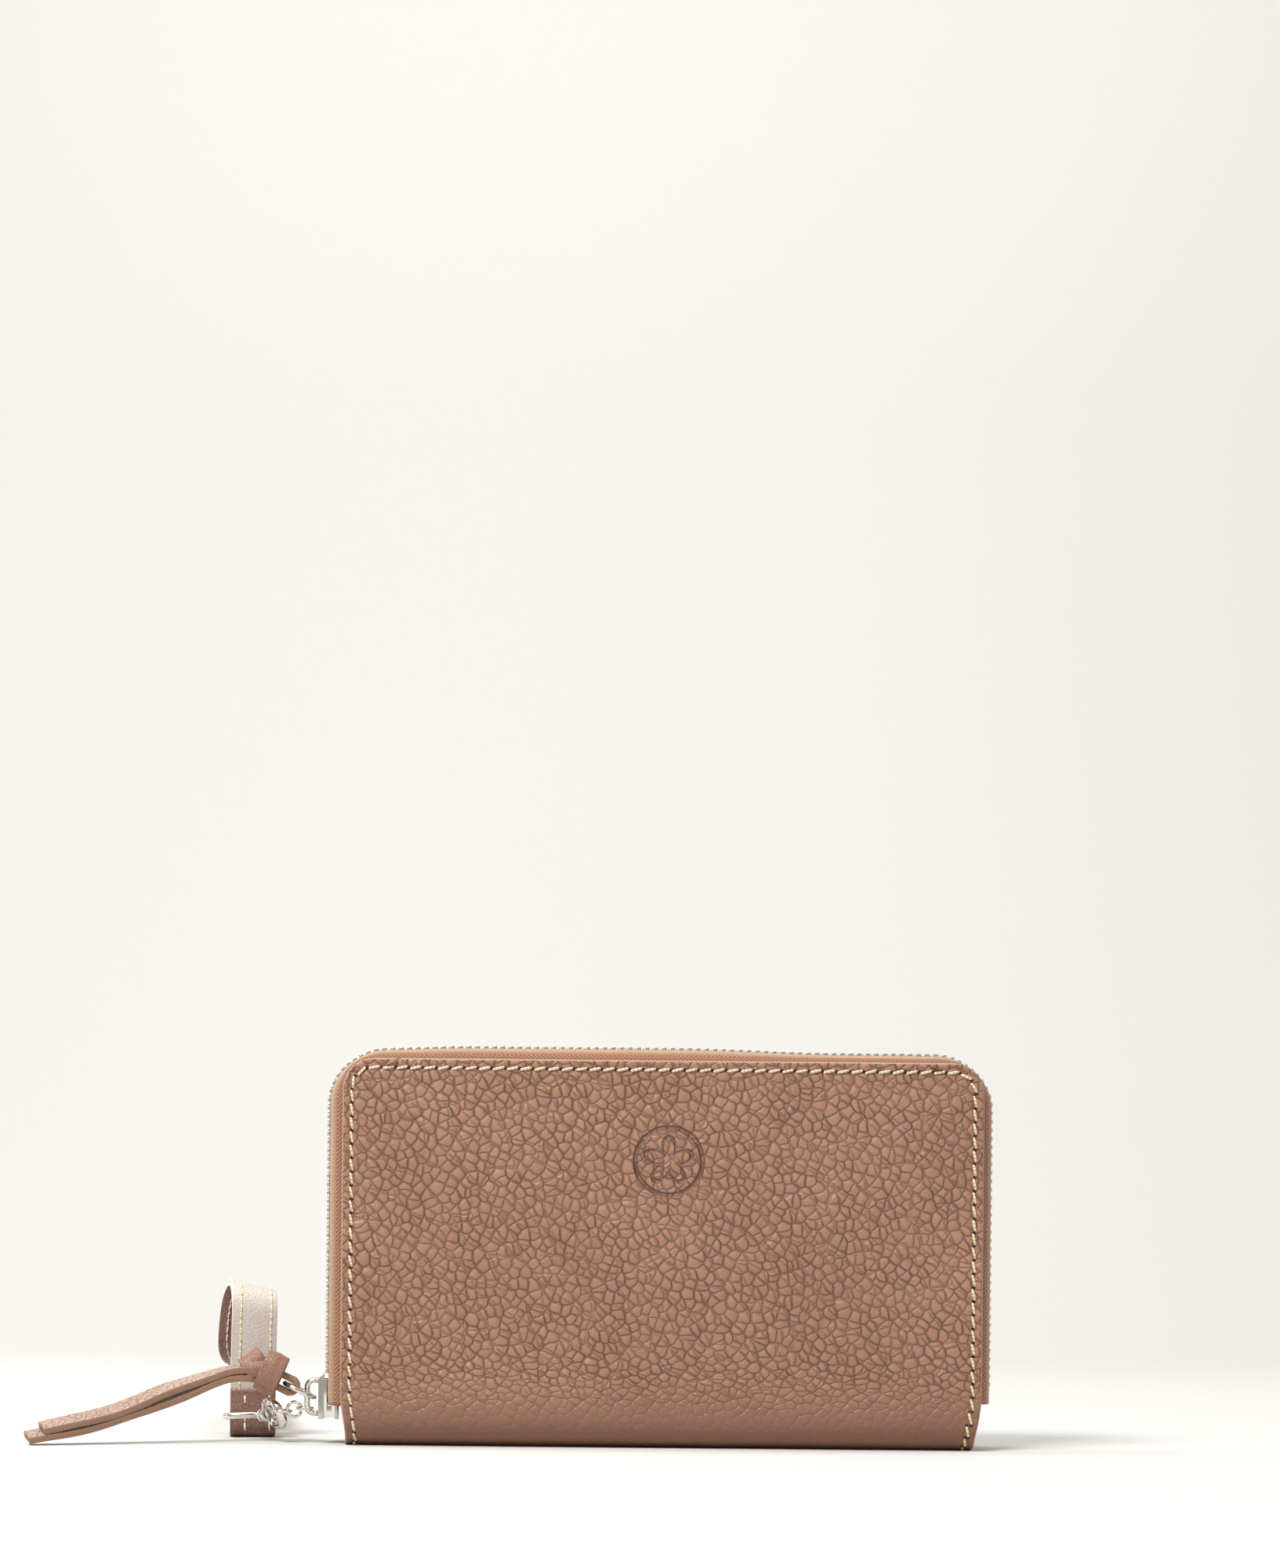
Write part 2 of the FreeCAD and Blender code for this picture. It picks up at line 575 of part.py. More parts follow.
# ---- inside: coin divider, pockets, card slots, gussets -----------------------------------------
def coin_divider():
    """A zipped pocket that stands on the spine between the covers."""
    w, y = DIVIDER_HALF_W, DIVIDER_Y
    zip_half = 3.6      # the opening in the front wall
    low, high = COIN_ZIP_Z - zip_half, COIN_ZIP_Z + zip_half
    keep("coin_pocket_front", block(-w, w, -y, -y + WALL_T, DIVIDER_Z0, low))
    keep("coin_pocket_top_band", block(-w, w, -y, -y + WALL_T, high, DIVIDER_Z1))
    keep("coin_pocket_back", block(-w, w, y - WALL_T, y, DIVIDER_Z0, DIVIDER_Z1))
    ring_outer = block(-w, w, -y + WALL_T, y - WALL_T, DIVIDER_Z0, DIVIDER_Z1)
    ring_inner = block(-w + 2, w - 2, -2, 2, DIVIDER_Z0 + 2, DIVIDER_Z1 - 2)
    keep("coin_pocket_seam", ring_outer.cut(ring_inner))

    tape_t, reach = 0.45, 0.5
    ty0 = -y + WALL_T
    half = w - 2.2
    for name, z0, z1 in (
        ("coin_zip_tape_lower", low - 1.6, COIN_ZIP_Z - reach),
        ("coin_zip_tape_upper", COIN_ZIP_Z + reach, high + 1.2),
    ):
        keep(name, block(-half, half, ty0, ty0 + tape_t, z0, z1))
    coil_r = 0.42
    ym = ty0 + tape_t + coil_r + 0.02
    coils = [
        rod(coil_r, V(-half + 2, ym, COIN_ZIP_Z + dz), V(COIN_SLIDER_X + 2.4, ym, COIN_ZIP_Z + dz))
        for dz in (-coil_r - 0.02, coil_r + 0.02)
    ]
    keep("coin_zip_coil", Part.Compound(coils))


COIN_SLIDER_X = 62.0


def coin_slider():
    """A small slider on the coin pocket's zip, with its hinged pull tab."""
    y0 = -DIVIDER_Y
    x, z = COIN_SLIDER_X, COIN_ZIP_Z
    outer = block(x - 4.2, x + 4.2, y0 - 1.1, y0 - 0.15, z - 3.1, z + 3.1)
    neck = block(x + 2.6, x + 3.6, y0 - 0.2, DIVIDER_Y - WALL_T - 0.1, z - 0.3, z + 0.3)
    back = DIVIDER_Y - WALL_T - 0.1
    inner = block(x - 4.2, x + 4.2, back - 0.3, back, z - 2.6, z + 2.6)
    lugs = [block(x - 1.2, x + 1.2, y0 - 2.5, y0 - 1.1, z + s - 0.45, z + s + 0.45) for s in (-1.7, 1.7)]
    pin_at = V(x, y0 - 1.85, z)
    pin = rod(0.38, pin_at - UP * 1.6, pin_at + UP * 1.6)
    keep("coin_slider", outer.fuse([neck, inner] + lugs + [pin]).removeSplitter())

    tab = block(x - 12.0, x + 0.9, y0 - 2.35, y0 - 1.35, z - 1.1, z + 1.1)
    grip = rod(2.4, V(x - 12.0, y0 - 2.35, z), V(x - 12.0, y0 - 1.35, z))
    hole = rod(0.44, pin_at - UP * 4, pin_at + UP * 4)
    eye = rod(1.1, V(x - 12.0, y0 - 4, z), V(x - 12.0, y0, z))
    keep("coin_pull_tab", tab.fuse(grip).cut(hole).cut(eye).removeSplitter())


POCKET_HALF_W = 73.0


def pockets():
    """A full-width slip pocket inside the front cover, and three stepped card slots inside the back."""
    wall, room = 0.8, 0.7
    z0, z1 = HINGE_Z + 2.0, 76.0
    outer = block(-POCKET_HALF_W, POCKET_HALF_W, -INNER_Y, -INNER_Y + wall + room, z0, z1)
    hollow = block(-POCKET_HALF_W + 2, POCKET_HALF_W - 2, -INNER_Y, -INNER_Y + room, z0 + 2, z1 + 1)
    keep("front_slip_pocket", outer.cut(hollow))
    step, slot_t, slot_room = 11.0, 0.9, 0.3
    for n in range(3):
        y1 = INNER_Y - n * slot_t
        top = 80.0 - n * step
        outer = block(-POCKET_HALF_W, POCKET_HALF_W, y1 - slot_t, y1, z0, top)
        hollow = block(-POCKET_HALF_W + 2, POCKET_HALF_W - 2, y1 - slot_room, y1, z0 + 2, top + 1)
        keep("card_slot_%d" % (n + 1), outer.cut(hollow))


def gussets():
    """Four pleated side walls: each closes one compartment between the divider's edge and a cover."""
    x0 = DIVIDER_HALF_W + 0.3
    y0, y1 = 0.3, INNER_Y - 0.2
    levels = ((14.0, x0 + 2.6), (84.0, 81.0))      # height, and how far out the wall reaches there
    for x_side, x_name in ((-1, "left"), (1, "right")):
        for side, name in ((-1, "front"), (1, "back")):
            wires = []
            for z, x1 in levels:
                corners = ((x0, y0), (x1, y0), (x1, y1), (x0, y1))
                points = [V(x_side * x, side * y, z) for x, y in corners]
                wires.append(Part.makePolygon(points + [points[0]]))
            keep("gusset_%s_%s" % (x_name, name), Part.makeLoft(wires, True, True))


def main():
    for side, name in ((-1, "front"), (1, "back")):
        cover(side, name)
    spine()
    zip_tapes()
    zip_teeth()
    zip_stops()
    slider()
    pull()
    chain()
    snap_hook()
    swivel_eye()
    wrist_strap()
    coin_divider()
    coin_slider()
    pockets()
    gussets()
    os.makedirs("parts", exist_ok=True)
    for name, shape in PARTS.items():
        shape.exportStep("parts/%s.step" % name)
    print(len(PARTS), "nodes")


main()
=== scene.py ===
# %% [markdown]
# # A zip-around wristlet wallet
#
# The wallet is two leather covers joined by one folded spine, with a metal zip round the other three sides.
# A leather lace is knotted through the slider's ring, and a wrist strap hangs beside it on a snap hook.
# The CAD model gives every position here, in metres, with X along the width, the front towards -Y and Z up.

# %% Load the frame
import json
import math

import bmesh
import bpy
import numpy as np
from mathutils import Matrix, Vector, noise


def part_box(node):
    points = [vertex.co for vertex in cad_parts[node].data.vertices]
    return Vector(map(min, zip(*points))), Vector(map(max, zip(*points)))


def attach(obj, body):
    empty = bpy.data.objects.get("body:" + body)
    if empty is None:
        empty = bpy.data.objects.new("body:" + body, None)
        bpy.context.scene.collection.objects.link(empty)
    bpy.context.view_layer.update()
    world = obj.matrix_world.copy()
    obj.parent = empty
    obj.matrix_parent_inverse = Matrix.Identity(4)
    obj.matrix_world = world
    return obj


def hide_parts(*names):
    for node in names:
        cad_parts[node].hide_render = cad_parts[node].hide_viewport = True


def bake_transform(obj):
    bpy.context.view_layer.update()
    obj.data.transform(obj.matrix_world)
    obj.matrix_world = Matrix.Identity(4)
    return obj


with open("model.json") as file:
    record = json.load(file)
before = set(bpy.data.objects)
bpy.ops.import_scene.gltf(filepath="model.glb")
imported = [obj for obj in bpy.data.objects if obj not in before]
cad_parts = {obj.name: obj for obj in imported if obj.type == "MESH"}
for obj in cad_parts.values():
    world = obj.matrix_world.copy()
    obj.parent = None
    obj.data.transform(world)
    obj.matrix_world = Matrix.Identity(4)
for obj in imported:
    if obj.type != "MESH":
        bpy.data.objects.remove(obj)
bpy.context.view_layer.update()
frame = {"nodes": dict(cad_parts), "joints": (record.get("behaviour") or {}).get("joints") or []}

MM = 0.001
joints = {joint["name"]: joint for joint in frame["joints"]}

# %% [markdown]
# ## Sizes
#
# The covers' outline, the spine's bend and the hinge lines are read from the CAD nodes, so that the soft
# leather drawn here lies on the rigid panels that move. Sizes that only the leather worker chooses, such as
# the stitch length, are set here.

# %% Sizes read from the CAD
panel_low, panel_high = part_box("front_cover_leather")
HALF_W, TOP, DEPTH = panel_high.x, panel_high.z, -panel_low.y
LEATHER_T = panel_high.y - panel_low.y
SPINE_HALF_W, HINGE_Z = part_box("spine_leather")[1].x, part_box("spine_leather")[1].z
CORNER_R = 8.5 * MM
SPINE_R = 8.0 * MM
LINING_Y = -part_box("front_cover_lining")[1].y      # |y| of the lining's visible face
TEETH_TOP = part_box("back_zip_teeth")[1].z
CHAIN_U = TEETH_TOP - 1.2 * MM - TOP               # how far the chain stands outside the covers' outline
TAPE_Z0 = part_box("front_zip_tape")[0].z
STITCH_PITCH, STITCH_INSET = 3.68 * MM, 2.6 * MM
print("cover", round(2 * HALF_W / MM), "by", round(TOP / MM), "mm, chain", round(CHAIN_U / MM, 2), "mm out")

# %% [markdown]
# ## Colours and nodes
#
# A colour is written as the sRGB hex value that a colour picker shows, and one function turns it to the
# linear values that the shader works in. Another small function adds a node with its settings and links.

# %% Two helpers for materials
def linear(hex_colour):
    """sRGB hex to the shader's linear RGBA."""
    parts = [int(hex_colour[i : i + 2], 16) / 255 for i in (1, 3, 5)]
    return [c / 12.92 if c <= 0.04045 else ((c + 0.055) / 1.055) ** 2.4 for c in parts] + [1.0]


def add(material, kind, sockets=None, **settings):
    """Adds a node. sockets maps a name or number to a value, or to (node, output) for a link."""
    tree = material.node_tree
    made = tree.nodes.new(kind)
    for name, value in settings.items():
        setattr(made, name, value)
    for key, value in (sockets or {}).items():
        socket = made.inputs[key]
        if isinstance(value, tuple) and isinstance(value[0], bpy.types.Node):
            tree.links.new(value[0].outputs[value[1]], socket)
        else:
            socket.default_value = value
    return made


def new_material(name):
    material = bpy.data.materials.new(name)
    material.use_nodes = True
    material.node_tree.nodes.clear()
    return material


def finish_material(material, **sockets):
    """Gives the material its Principled shader and output. An underscore in a name stands for a space."""
    named = {key.replace("_", " "): value for key, value in sockets.items()}
    shader = add(material, "ShaderNodeBsdfPrincipled", named)
    add(material, "ShaderNodeOutputMaterial", {"Surface": (shader, "BSDF")})
    return material


# %% [markdown]
# ## Pebbled leather
#
# The covers are full-grain cowhide, drum-dyed and milled, which raises a pebble grain: rounded cells about
# 2.5 mm across with sunken creases between them. Voronoi cells measured by their distance to the nearest
# edge have that look, with longer slanting creases over them. The cells are laid out in the sheet's own flat
# millimetres, kept on each vertex as "grain", so they bend round the spine as hide does. The creases are
# painted a little darker as painted shade, the hair lines carry painted glints, and the hide is painted
# darker where it turns under the spine, as painted shade. The wax finish is semi-matt.

# %% Pebbled leather
PEBBLE = 2.5 * MM


# crease is the colour painted into the creases as shade; light is the lighter tone of the slow drifts and of
# the painted glints
def pebbled_leather(
    name, face, crease, light, pebble=PEBBLE, relief=0.44 * MM, roughness=0.46, motif=False, drawn=False
):
    m = new_material(name)
    grain = add(m, "ShaderNodeAttribute", attribute_name="grain")
    wander = add(
        m, "ShaderNodeTexNoise", {"Vector": (grain, "Vector"), "Scale": 0.50 / pebble, "Detail": 2.0}
    )
    pull = add(m, "ShaderNodeVectorMath", {0: (wander, "Color"), 1: (0.5, 0.5, 0.5)}, operation="SUBTRACT")
    pull = add(m, "ShaderNodeVectorMath", {0: (pull, 0), "Scale": 0.85 * pebble}, operation="SCALE")
    place = add(m, "ShaderNodeVectorMath", {0: (grain, "Vector"), 1: (pull, 0)}, operation="ADD")
    turned = add(m, "ShaderNodeMapping", {"Vector": (place, 0), "Rotation": (0, 0, 0.6)})
    cells = {"Vector": (turned, 0), "Scale": 0.92 / pebble, "Randomness": 0.88}
    edge = add(m, "ShaderNodeTexVoronoi", cells, feature="DISTANCE_TO_EDGE", voronoi_dimensions="2D")
    cell = add(m, "ShaderNodeTexVoronoi", cells, feature="F1", voronoi_dimensions="2D")
    # a pebble rises steeply from its crease and is domed on top
    pillow = add(
        m, "ShaderNodeMapRange", {
            "Value": (edge, "Distance"), "From Max": 0.16
        }, interpolation_type="SMOOTHSTEP"
    )
    # some creases are faint, so that two or three cells read as one
    patch = add(m, "ShaderNodeTexNoise", {"Vector": (grain, "Vector"), "Scale": 0.32 / pebble, "Detail": 1.0})
    depth = add(
        m, "ShaderNodeMapRange", {"Value": (patch, 0), "From Min": 0.36, "From Max": 0.60, "To Min": 0.70}
    )
    valley = add(m, "ShaderNodeMath", {0: 1.0, 1: (pillow, 0)}, operation="SUBTRACT")
    valley = add(m, "ShaderNodeMath", {0: (valley, 0), 1: (depth, 0)}, operation="MULTIPLY")
    # longer creases run slanting across several pebbles, where the hide was rolled in the mill
    mill = {"Vector": (place, 0), "Rotation": (0, 0, 0.80), "Scale": (1.0, 2.8, 1.0)}
    mill = add(m, "ShaderNodeMapping", mill, vector_type="TEXTURE")
    mill = {"Vector": (mill, 0), "Scale": 0.46 / pebble, "Randomness": 1.0}
    long_crease = add(m, "ShaderNodeTexVoronoi", mill, feature="DISTANCE_TO_EDGE", voronoi_dimensions="2D")
    line = {"Value": (long_crease, "Distance"), "From Max": 0.055, "To Min": 0.65, "To Max": 0.0}
    line = add(m, "ShaderNodeMapRange", line, interpolation_type="SMOOTHSTEP")
    valley = add(m, "ShaderNodeMath", {0: (valley, 0), 1: (line, 0)}, operation="MAXIMUM")
    relief_share = None
    if drawn:
        # where the hide is drawn round the spine, its grain is pulled nearly flat
        along = add(m, "ShaderNodeSeparateXYZ", {0: (grain, "Vector")})
        pulled = {"Value": (along, 1), "From Min": 8 * MM, "From Max": 26 * MM, "To Min": 0.22}
        relief_share = add(m, "ShaderNodeMapRange", pulled)
        valley = add(m, "ShaderNodeMath", {0: (valley, 0), 1: (relief_share, 0)}, operation="MULTIPLY")
    # fine hair-cell lines cross each pebble, about 0.3 mm apart and slanting
    slant = {"Vector": (place, 0), "Rotation": (0, 0, -0.70), "Scale": (1.0, 3.3, 1.0)}
    slant = add(m, "ShaderNodeMapping", slant, vector_type="TEXTURE")
    hair = add(m, "ShaderNodeTexNoise", {"Vector": (slant, 0), "Scale": 1 / (0.42 * MM), "Detail": 3.0})
    pores = add(
        m, "ShaderNodeTexNoise", {"Vector": (grain, "Vector"), "Scale": 1 / (0.25 * MM), "Detail": 2.0}
    )
    height = add(m, "ShaderNodeMath", {0: (valley, 0), 1: -1.0}, operation="MULTIPLY")
    height = add(m, "ShaderNodeMath", {0: (hair, 0), 1: 0.22, 2: (height, 0)}, operation="MULTIPLY_ADD")
    height = add(m, "ShaderNodeMath", {0: (pores, 0), 1: 0.05, 2: (height, 0)}, operation="MULTIPLY_ADD")
    dome = add(m, "ShaderNodeMath", {0: (cell, "Distance"), 1: 2.0}, operation="POWER")
    height = add(m, "ShaderNodeMath", {0: (dome, 0), 1: -1.8, 2: (height, 0)}, operation="MULTIPLY_ADD")
    if drawn:
        height = add(m, "ShaderNodeMath", {0: (height, 0), 1: (relief_share, 0)}, operation="MULTIPLY")
    if motif:
        mark = pressed_flower(m, grain)
        height = add(m, "ShaderNodeMath", {0: (mark, 0), 1: -3.2, 2: (height, 0)}, operation="MULTIPLY_ADD")
        valley = add(m, "ShaderNodeMath", {0: (valley, 0), 1: (mark, 0)}, operation="MAXIMUM")
    bump = add(m, "ShaderNodeBump", {"Height": (height, 0), "Distance": relief, "Strength": 1.0})
    # tone: slow drifts across the hide, painted glints on the hair lines and painted shade in the creases
    drift = add(m, "ShaderNodeTexNoise", {"Vector": (grain, "Vector"), "Scale": 1 / (38 * MM), "Detail": 3.0})
    drift = add(m, "ShaderNodeMapRange", {"Value": (drift, 0), "From Min": 0.3, "From Max": 0.7})
    tone = add(
        m, "ShaderNodeMix", {"Factor": (drift, 0), 6: linear(face), 7: linear(light)}, data_type="RGBA"
    )
    # painted glints: the hair lines are lightened towards the light colour, where they would catch the light
    painted_glint = add(
        m, "ShaderNodeMapRange", {"Value": (hair, 0), "From Min": 0.50, "From Max": 0.72, "To Max": 0.55}
    )
    tone = add(m, "ShaderNodeMix", {"Factor": (painted_glint, 0), 6: (tone, 2), 7: linear(light)}, data_type="RGBA")
    if drawn:
        # and near the spine's bend the hide is painted darker, painted shade where it turns under away from
        # the light
        bend_shade = {"Value": (along, 1), "From Min": 9 * MM, "From Max": 24 * MM, "To Min": 0.95, "To Max": 0.0}
        bend_shade = add(m, "ShaderNodeMapRange", bend_shade)
        tone = add(
            m, "ShaderNodeMix", {"Factor": (bend_shade, 0), 6: (tone, 2), 7: linear("#7F5A47")}, data_type="RGBA"
        )
    # painted shade: the creases and the stamped flower's grooves are darkened towards the crease colour
    dark = add(m, "ShaderNodeMath", {0: (valley, 0), 1: 2.6}, operation="POWER")
    tone = add(m, "ShaderNodeMix", {"Factor": (dark, 0), 6: (tone, 2), 7: linear(crease)}, data_type="RGBA")
    rough = add(
        m, "ShaderNodeMapRange", {"Value": (hair, 0), "To Min": roughness - 0.08, "To Max": roughness + 0.10}
    )
    return finish_material(m, Base_Color=(tone, 2), Roughness=(rough, 0), Normal=(bump, 0), IOR=1.48)


def pressed_flower(m, grain):
    """A plain five-petalled flower in a ring, blind-stamped at the middle of the front cover."""
    centre = (1.5 * MM, 86.0 * MM, 0.0)
    local = add(m, "ShaderNodeVectorMath", {0: (grain, "Vector"), 1: centre}, operation="SUBTRACT")
    xyz = add(m, "ShaderNodeSeparateXYZ", {0: (local, 0)})
    flat = add(m, "ShaderNodeCombineXYZ", {0: (xyz, 0), 1: (xyz, 1)})
    radius = add(m, "ShaderNodeVectorMath", {0: (flat, 0)}, operation="LENGTH")
    angle = add(m, "ShaderNodeMath", {0: (xyz, 0), 1: (xyz, 1)}, operation="ARCTAN2")
    wave = add(m, "ShaderNodeMath", {0: (angle, 0), 1: 2.5}, operation="MULTIPLY")
    wave = add(m, "ShaderNodeMath", {0: (wave, 0)}, operation="COSINE")
    wave = add(m, "ShaderNodeMath", {0: (wave, 0)}, operation="ABSOLUTE")
    petal = add(m, "ShaderNodeMath", {0: (wave, 0), 1: 4.6 * MM, 2: 1.8 * MM}, operation="MULTIPLY_ADD")
    lines = None
    for reach in (petal, None):
        value = (reach, 0) if reach else 9.0 * MM
        away = add(m, "ShaderNodeMath", {0: (radius, 1), 1: value}, operation="SUBTRACT")
        away = add(m, "ShaderNodeMath", {0: (away, 0)}, operation="ABSOLUTE")
        line = add(
            m,
            "ShaderNodeMapRange",
            {"Value": (away, 0), "From Min": 0.20 * MM, "From Max": 0.80 * MM, "To Min": 1.0, "To Max": 0.0},
            interpolation_type="SMOOTHSTEP",
        )
        if lines:
            line = add(m, "ShaderNodeMath", {0: (lines, 0), 1: (line, 0)}, operation="MAXIMUM")
        lines = line
    return lines


cover_leather = pebbled_leather(
    "pebbled_cowhide_taupe", "#996F58", "#845D4C", "#A77D67", motif=True, drawn=True
)
back_leather = pebbled_leather("pebbled_cowhide_taupe_plain", "#996F58", "#845D4C", "#A77D67", drawn=True)
# painted light: the lace is coloured lighter than the covers' hide, for the tails' upper faces in the key
# light
lace_leather_painted_light = pebbled_leather(
    "milled_cowhide_lace", "#AA8B78", "#86685A", "#C3A997", pebble=1.7 * MM, relief=0.24 * MM
)
knot_leather = pebbled_leather(
    "milled_cowhide_lace_pulled_tight", "#8B6552", "#755242", "#9F7965", pebble=1.0 * MM, relief=0.05 * MM
)
tab_leather = pebbled_leather(
    "smooth_cowhide_tab", "#7E5C50", "#614438", "#8A695B", pebble=1.1 * MM, relief=0.05 * MM
)
# painted highlight: the pale colour stands for glare on the strap's outer face, over taupe leather
strap_leather_painted_highlight = pebbled_leather(
    "smooth_calf_painted_highlight", "#C8BEB4", "#B8ACA1", "#D3CBC2", pebble=0.9 * MM, relief=0.035 * MM, roughness=0.45
)
print("leathers made:", [m.name for m in bpy.data.materials if "cow" in m.name or "calf" in m.name])

# %% [markdown]
# ## Cut and painted edges
#
# The covers' raw edge is skived, sanded and sealed with edge paint, which dries to a smooth, slightly
# glossy skin a shade lighter than the hide. The lace's edge is only cut, so it shows tan fibres.

# %% Edge paint and cut edge
def edge_finish(name, colour, shade, roughness, grit, relief):
    m = new_material(name)
    grain = add(m, "ShaderNodeTexCoord")
    spots = add(m, "ShaderNodeTexNoise", {"Vector": (grain, "Object"), "Scale": 1 / grit, "Detail": 4.0})
    tone = add(
        m, "ShaderNodeMix", {"Factor": (spots, 0), 6: linear(shade), 7: linear(colour)}, data_type="RGBA"
    )
    bump = add(m, "ShaderNodeBump", {"Height": (spots, 0), "Distance": relief, "Strength": 0.8})
    rough = add(
        m, "ShaderNodeMapRange", {"Value": (spots, 0), "To Min": roughness - 0.06, "To Max": roughness + 0.06}
    )
    return finish_material(m, Base_Color=(tone, 2), Roughness=(rough, 0), Normal=(bump, 0), IOR=1.5)


edge_paint = edge_finish("edge_paint_khaki", "#B4937B", "#9A7862", 0.40, 0.8 * MM, 0.05 * MM)
strap_edge_paint = edge_finish("edge_paint_pale", "#EAE6E1", "#DCD6CF", 0.38, 0.7 * MM, 0.04 * MM)
cut_edge = edge_finish("cut_edge_fibre", "#A5826A", "#7F5F4C", 0.80, 0.35 * MM, 0.10 * MM)
# painted shadow: a dark colour for the discs that stand for the shade inside the punched holes
stitch_hole = edge_finish("stitch_hole_shadow", "#2A1A14", "#1C100C", 0.85, 0.3 * MM, 0.05 * MM)

# %% [markdown]
# ## Thread
#
# The stitching is waxed polyester thread, three plies twisted together. Each stitch is a real solid here,
# and slanting waves along it give the plies, with painted shade in the grooves between them.

# %% Waxed thread
def thread_material(name, colour, shade):
    m = new_material(name)
    grain = add(m, "ShaderNodeAttribute", attribute_name="grain")
    plies = {"Vector": (grain, "Vector"), "Scale": 1 / (1.6 * MM), "Distortion": 0.4, "Detail": 1.0}
    wave = add(m, "ShaderNodeTexWave", plies, wave_type="BANDS", bands_direction="DIAGONAL")
    fuzz = add(
        m, "ShaderNodeTexNoise", {"Vector": (grain, "Vector"), "Scale": 1 / (0.15 * MM), "Detail": 3.0}
    )
    height = add(m, "ShaderNodeMath", {0: (fuzz, 0), 1: 0.3, 2: (wave, 0)}, operation="MULTIPLY_ADD")
    bump = add(m, "ShaderNodeBump", {"Height": (height, 0), "Distance": 0.09 * MM, "Strength": 1.0})
    # painted shade: the grooves between the plies take the darker colour
    tone = add(
        m, "ShaderNodeMix", {"Factor": (wave, 0), 6: linear(shade), 7: linear(colour)}, data_type="RGBA"
    )
    rough = add(m, "ShaderNodeMapRange", {"Value": (fuzz, 0), "To Min": 0.5, "To Max": 0.75})
    return finish_material(m, Base_Color=(tone, 2), Roughness=(rough, 0), Normal=(bump, 0))


cover_thread = thread_material("waxed_thread_cream", "#EFDDC2", "#CFB48F")
strap_thread = thread_material("fine_thread_straw", "#F3E9CC", "#DFCFA2")

# %% [markdown]
# ## Zip tape
#
# The tape is cotton woven in a herringbone: narrow bands whose slanting ribs change direction from band to
# band. The ribs are about 1.1 mm apart. A fold of the across-tape distance into bands of 1.5 mm, used to
# shift the ribs to and fro, draws the zigzag. The rib hollows are painted darker as painted shade, and the
# tape next to the teeth is painted lighter, a painted highlight where its curve faces the light above.

# %% Herringbone tape
def tape_material(name, colour, shade, teeth_side_highlight):
    m = new_material(name)
    run = add(m, "ShaderNodeAttribute", attribute_name="grain")
    xyz = add(m, "ShaderNodeSeparateXYZ", {0: (run, "Vector")})
    zigzag = add(m, "ShaderNodeMath", {0: (xyz, 1), 1: 1.5 * MM}, operation="PINGPONG")
    slope = add(m, "ShaderNodeMath", {0: (zigzag, 0), 1: 1.1, 2: (xyz, 0)}, operation="MULTIPLY_ADD")
    turns = add(m, "ShaderNodeMath", {0: (slope, 0), 1: 2 * math.pi / (1.15 * MM)}, operation="MULTIPLY")
    rib = add(m, "ShaderNodeMath", {0: (turns, 0)}, operation="SINE")
    rib = add(m, "ShaderNodeMapRange", {"Value": (rib, 0), "From Min": -1.0})
    ridge = add(m, "ShaderNodeMapRange", {"Value": (zigzag, 0), "From Max": 0.22 * MM})
    fuzz = add(m, "ShaderNodeTexNoise", {"Vector": (run, "Vector"), "Scale": 1 / (0.18 * MM), "Detail": 4.0})
    height = add(m, "ShaderNodeMath", {0: (rib, 0), 1: (ridge, 0)}, operation="MULTIPLY")
    height = add(m, "ShaderNodeMath", {0: (fuzz, 0), 1: 0.5, 2: (height, 0)}, operation="MULTIPLY_ADD")
    bump = add(m, "ShaderNodeBump", {"Height": (height, 0), "Distance": 0.20 * MM, "Strength": 1.0})
    # painted shade: the rib hollows take the darker colour
    tone = add(
        m, "ShaderNodeMix", {"Factor": (height, 0), 6: linear(shade), 7: linear(colour)}, data_type="RGBA"
    )
    # painted highlight: the tape nearer the chain than 7.9 mm is lightened, where its curve faces the light
    # above
    reach = {"Value": (xyz, 2), "From Min": 7.9 * MM, "From Max": 9.7 * MM, "To Min": 0.80, "To Max": 0.0}
    near = add(m, "ShaderNodeMapRange", reach)
    tone = add(m, "ShaderNodeMix", {"Factor": (near, 0), 6: (tone, 2), 7: linear(teeth_side_highlight)}, data_type="RGBA")
    rough = add(m, "ShaderNodeMapRange", {"Value": (fuzz, 0), "To Min": 0.78, "To Max": 0.95})
    return finish_material(
        m, Base_Color=(tone, 2), Roughness=(
            rough, 0
        ), Normal=(bump, 0), Sheen_Weight=0.25, Sheen_Roughness=0.5
    )


zip_tape = tape_material("herringbone_tape_rust", "#A87556", "#6B412D", "#BF9B78")
coin_tape = tape_material("herringbone_tape_dark", "#5E4336", "#3C2A22", "#6A4E40")

# %% [markdown]
# ## Plated metal
#
# Teeth, slider and hook are zinc or brass, polished and plated with nickel: almost a mirror, slightly warm.
# Handling leaves faint hairlines and smudges, so the roughness wanders between gloss and satin.

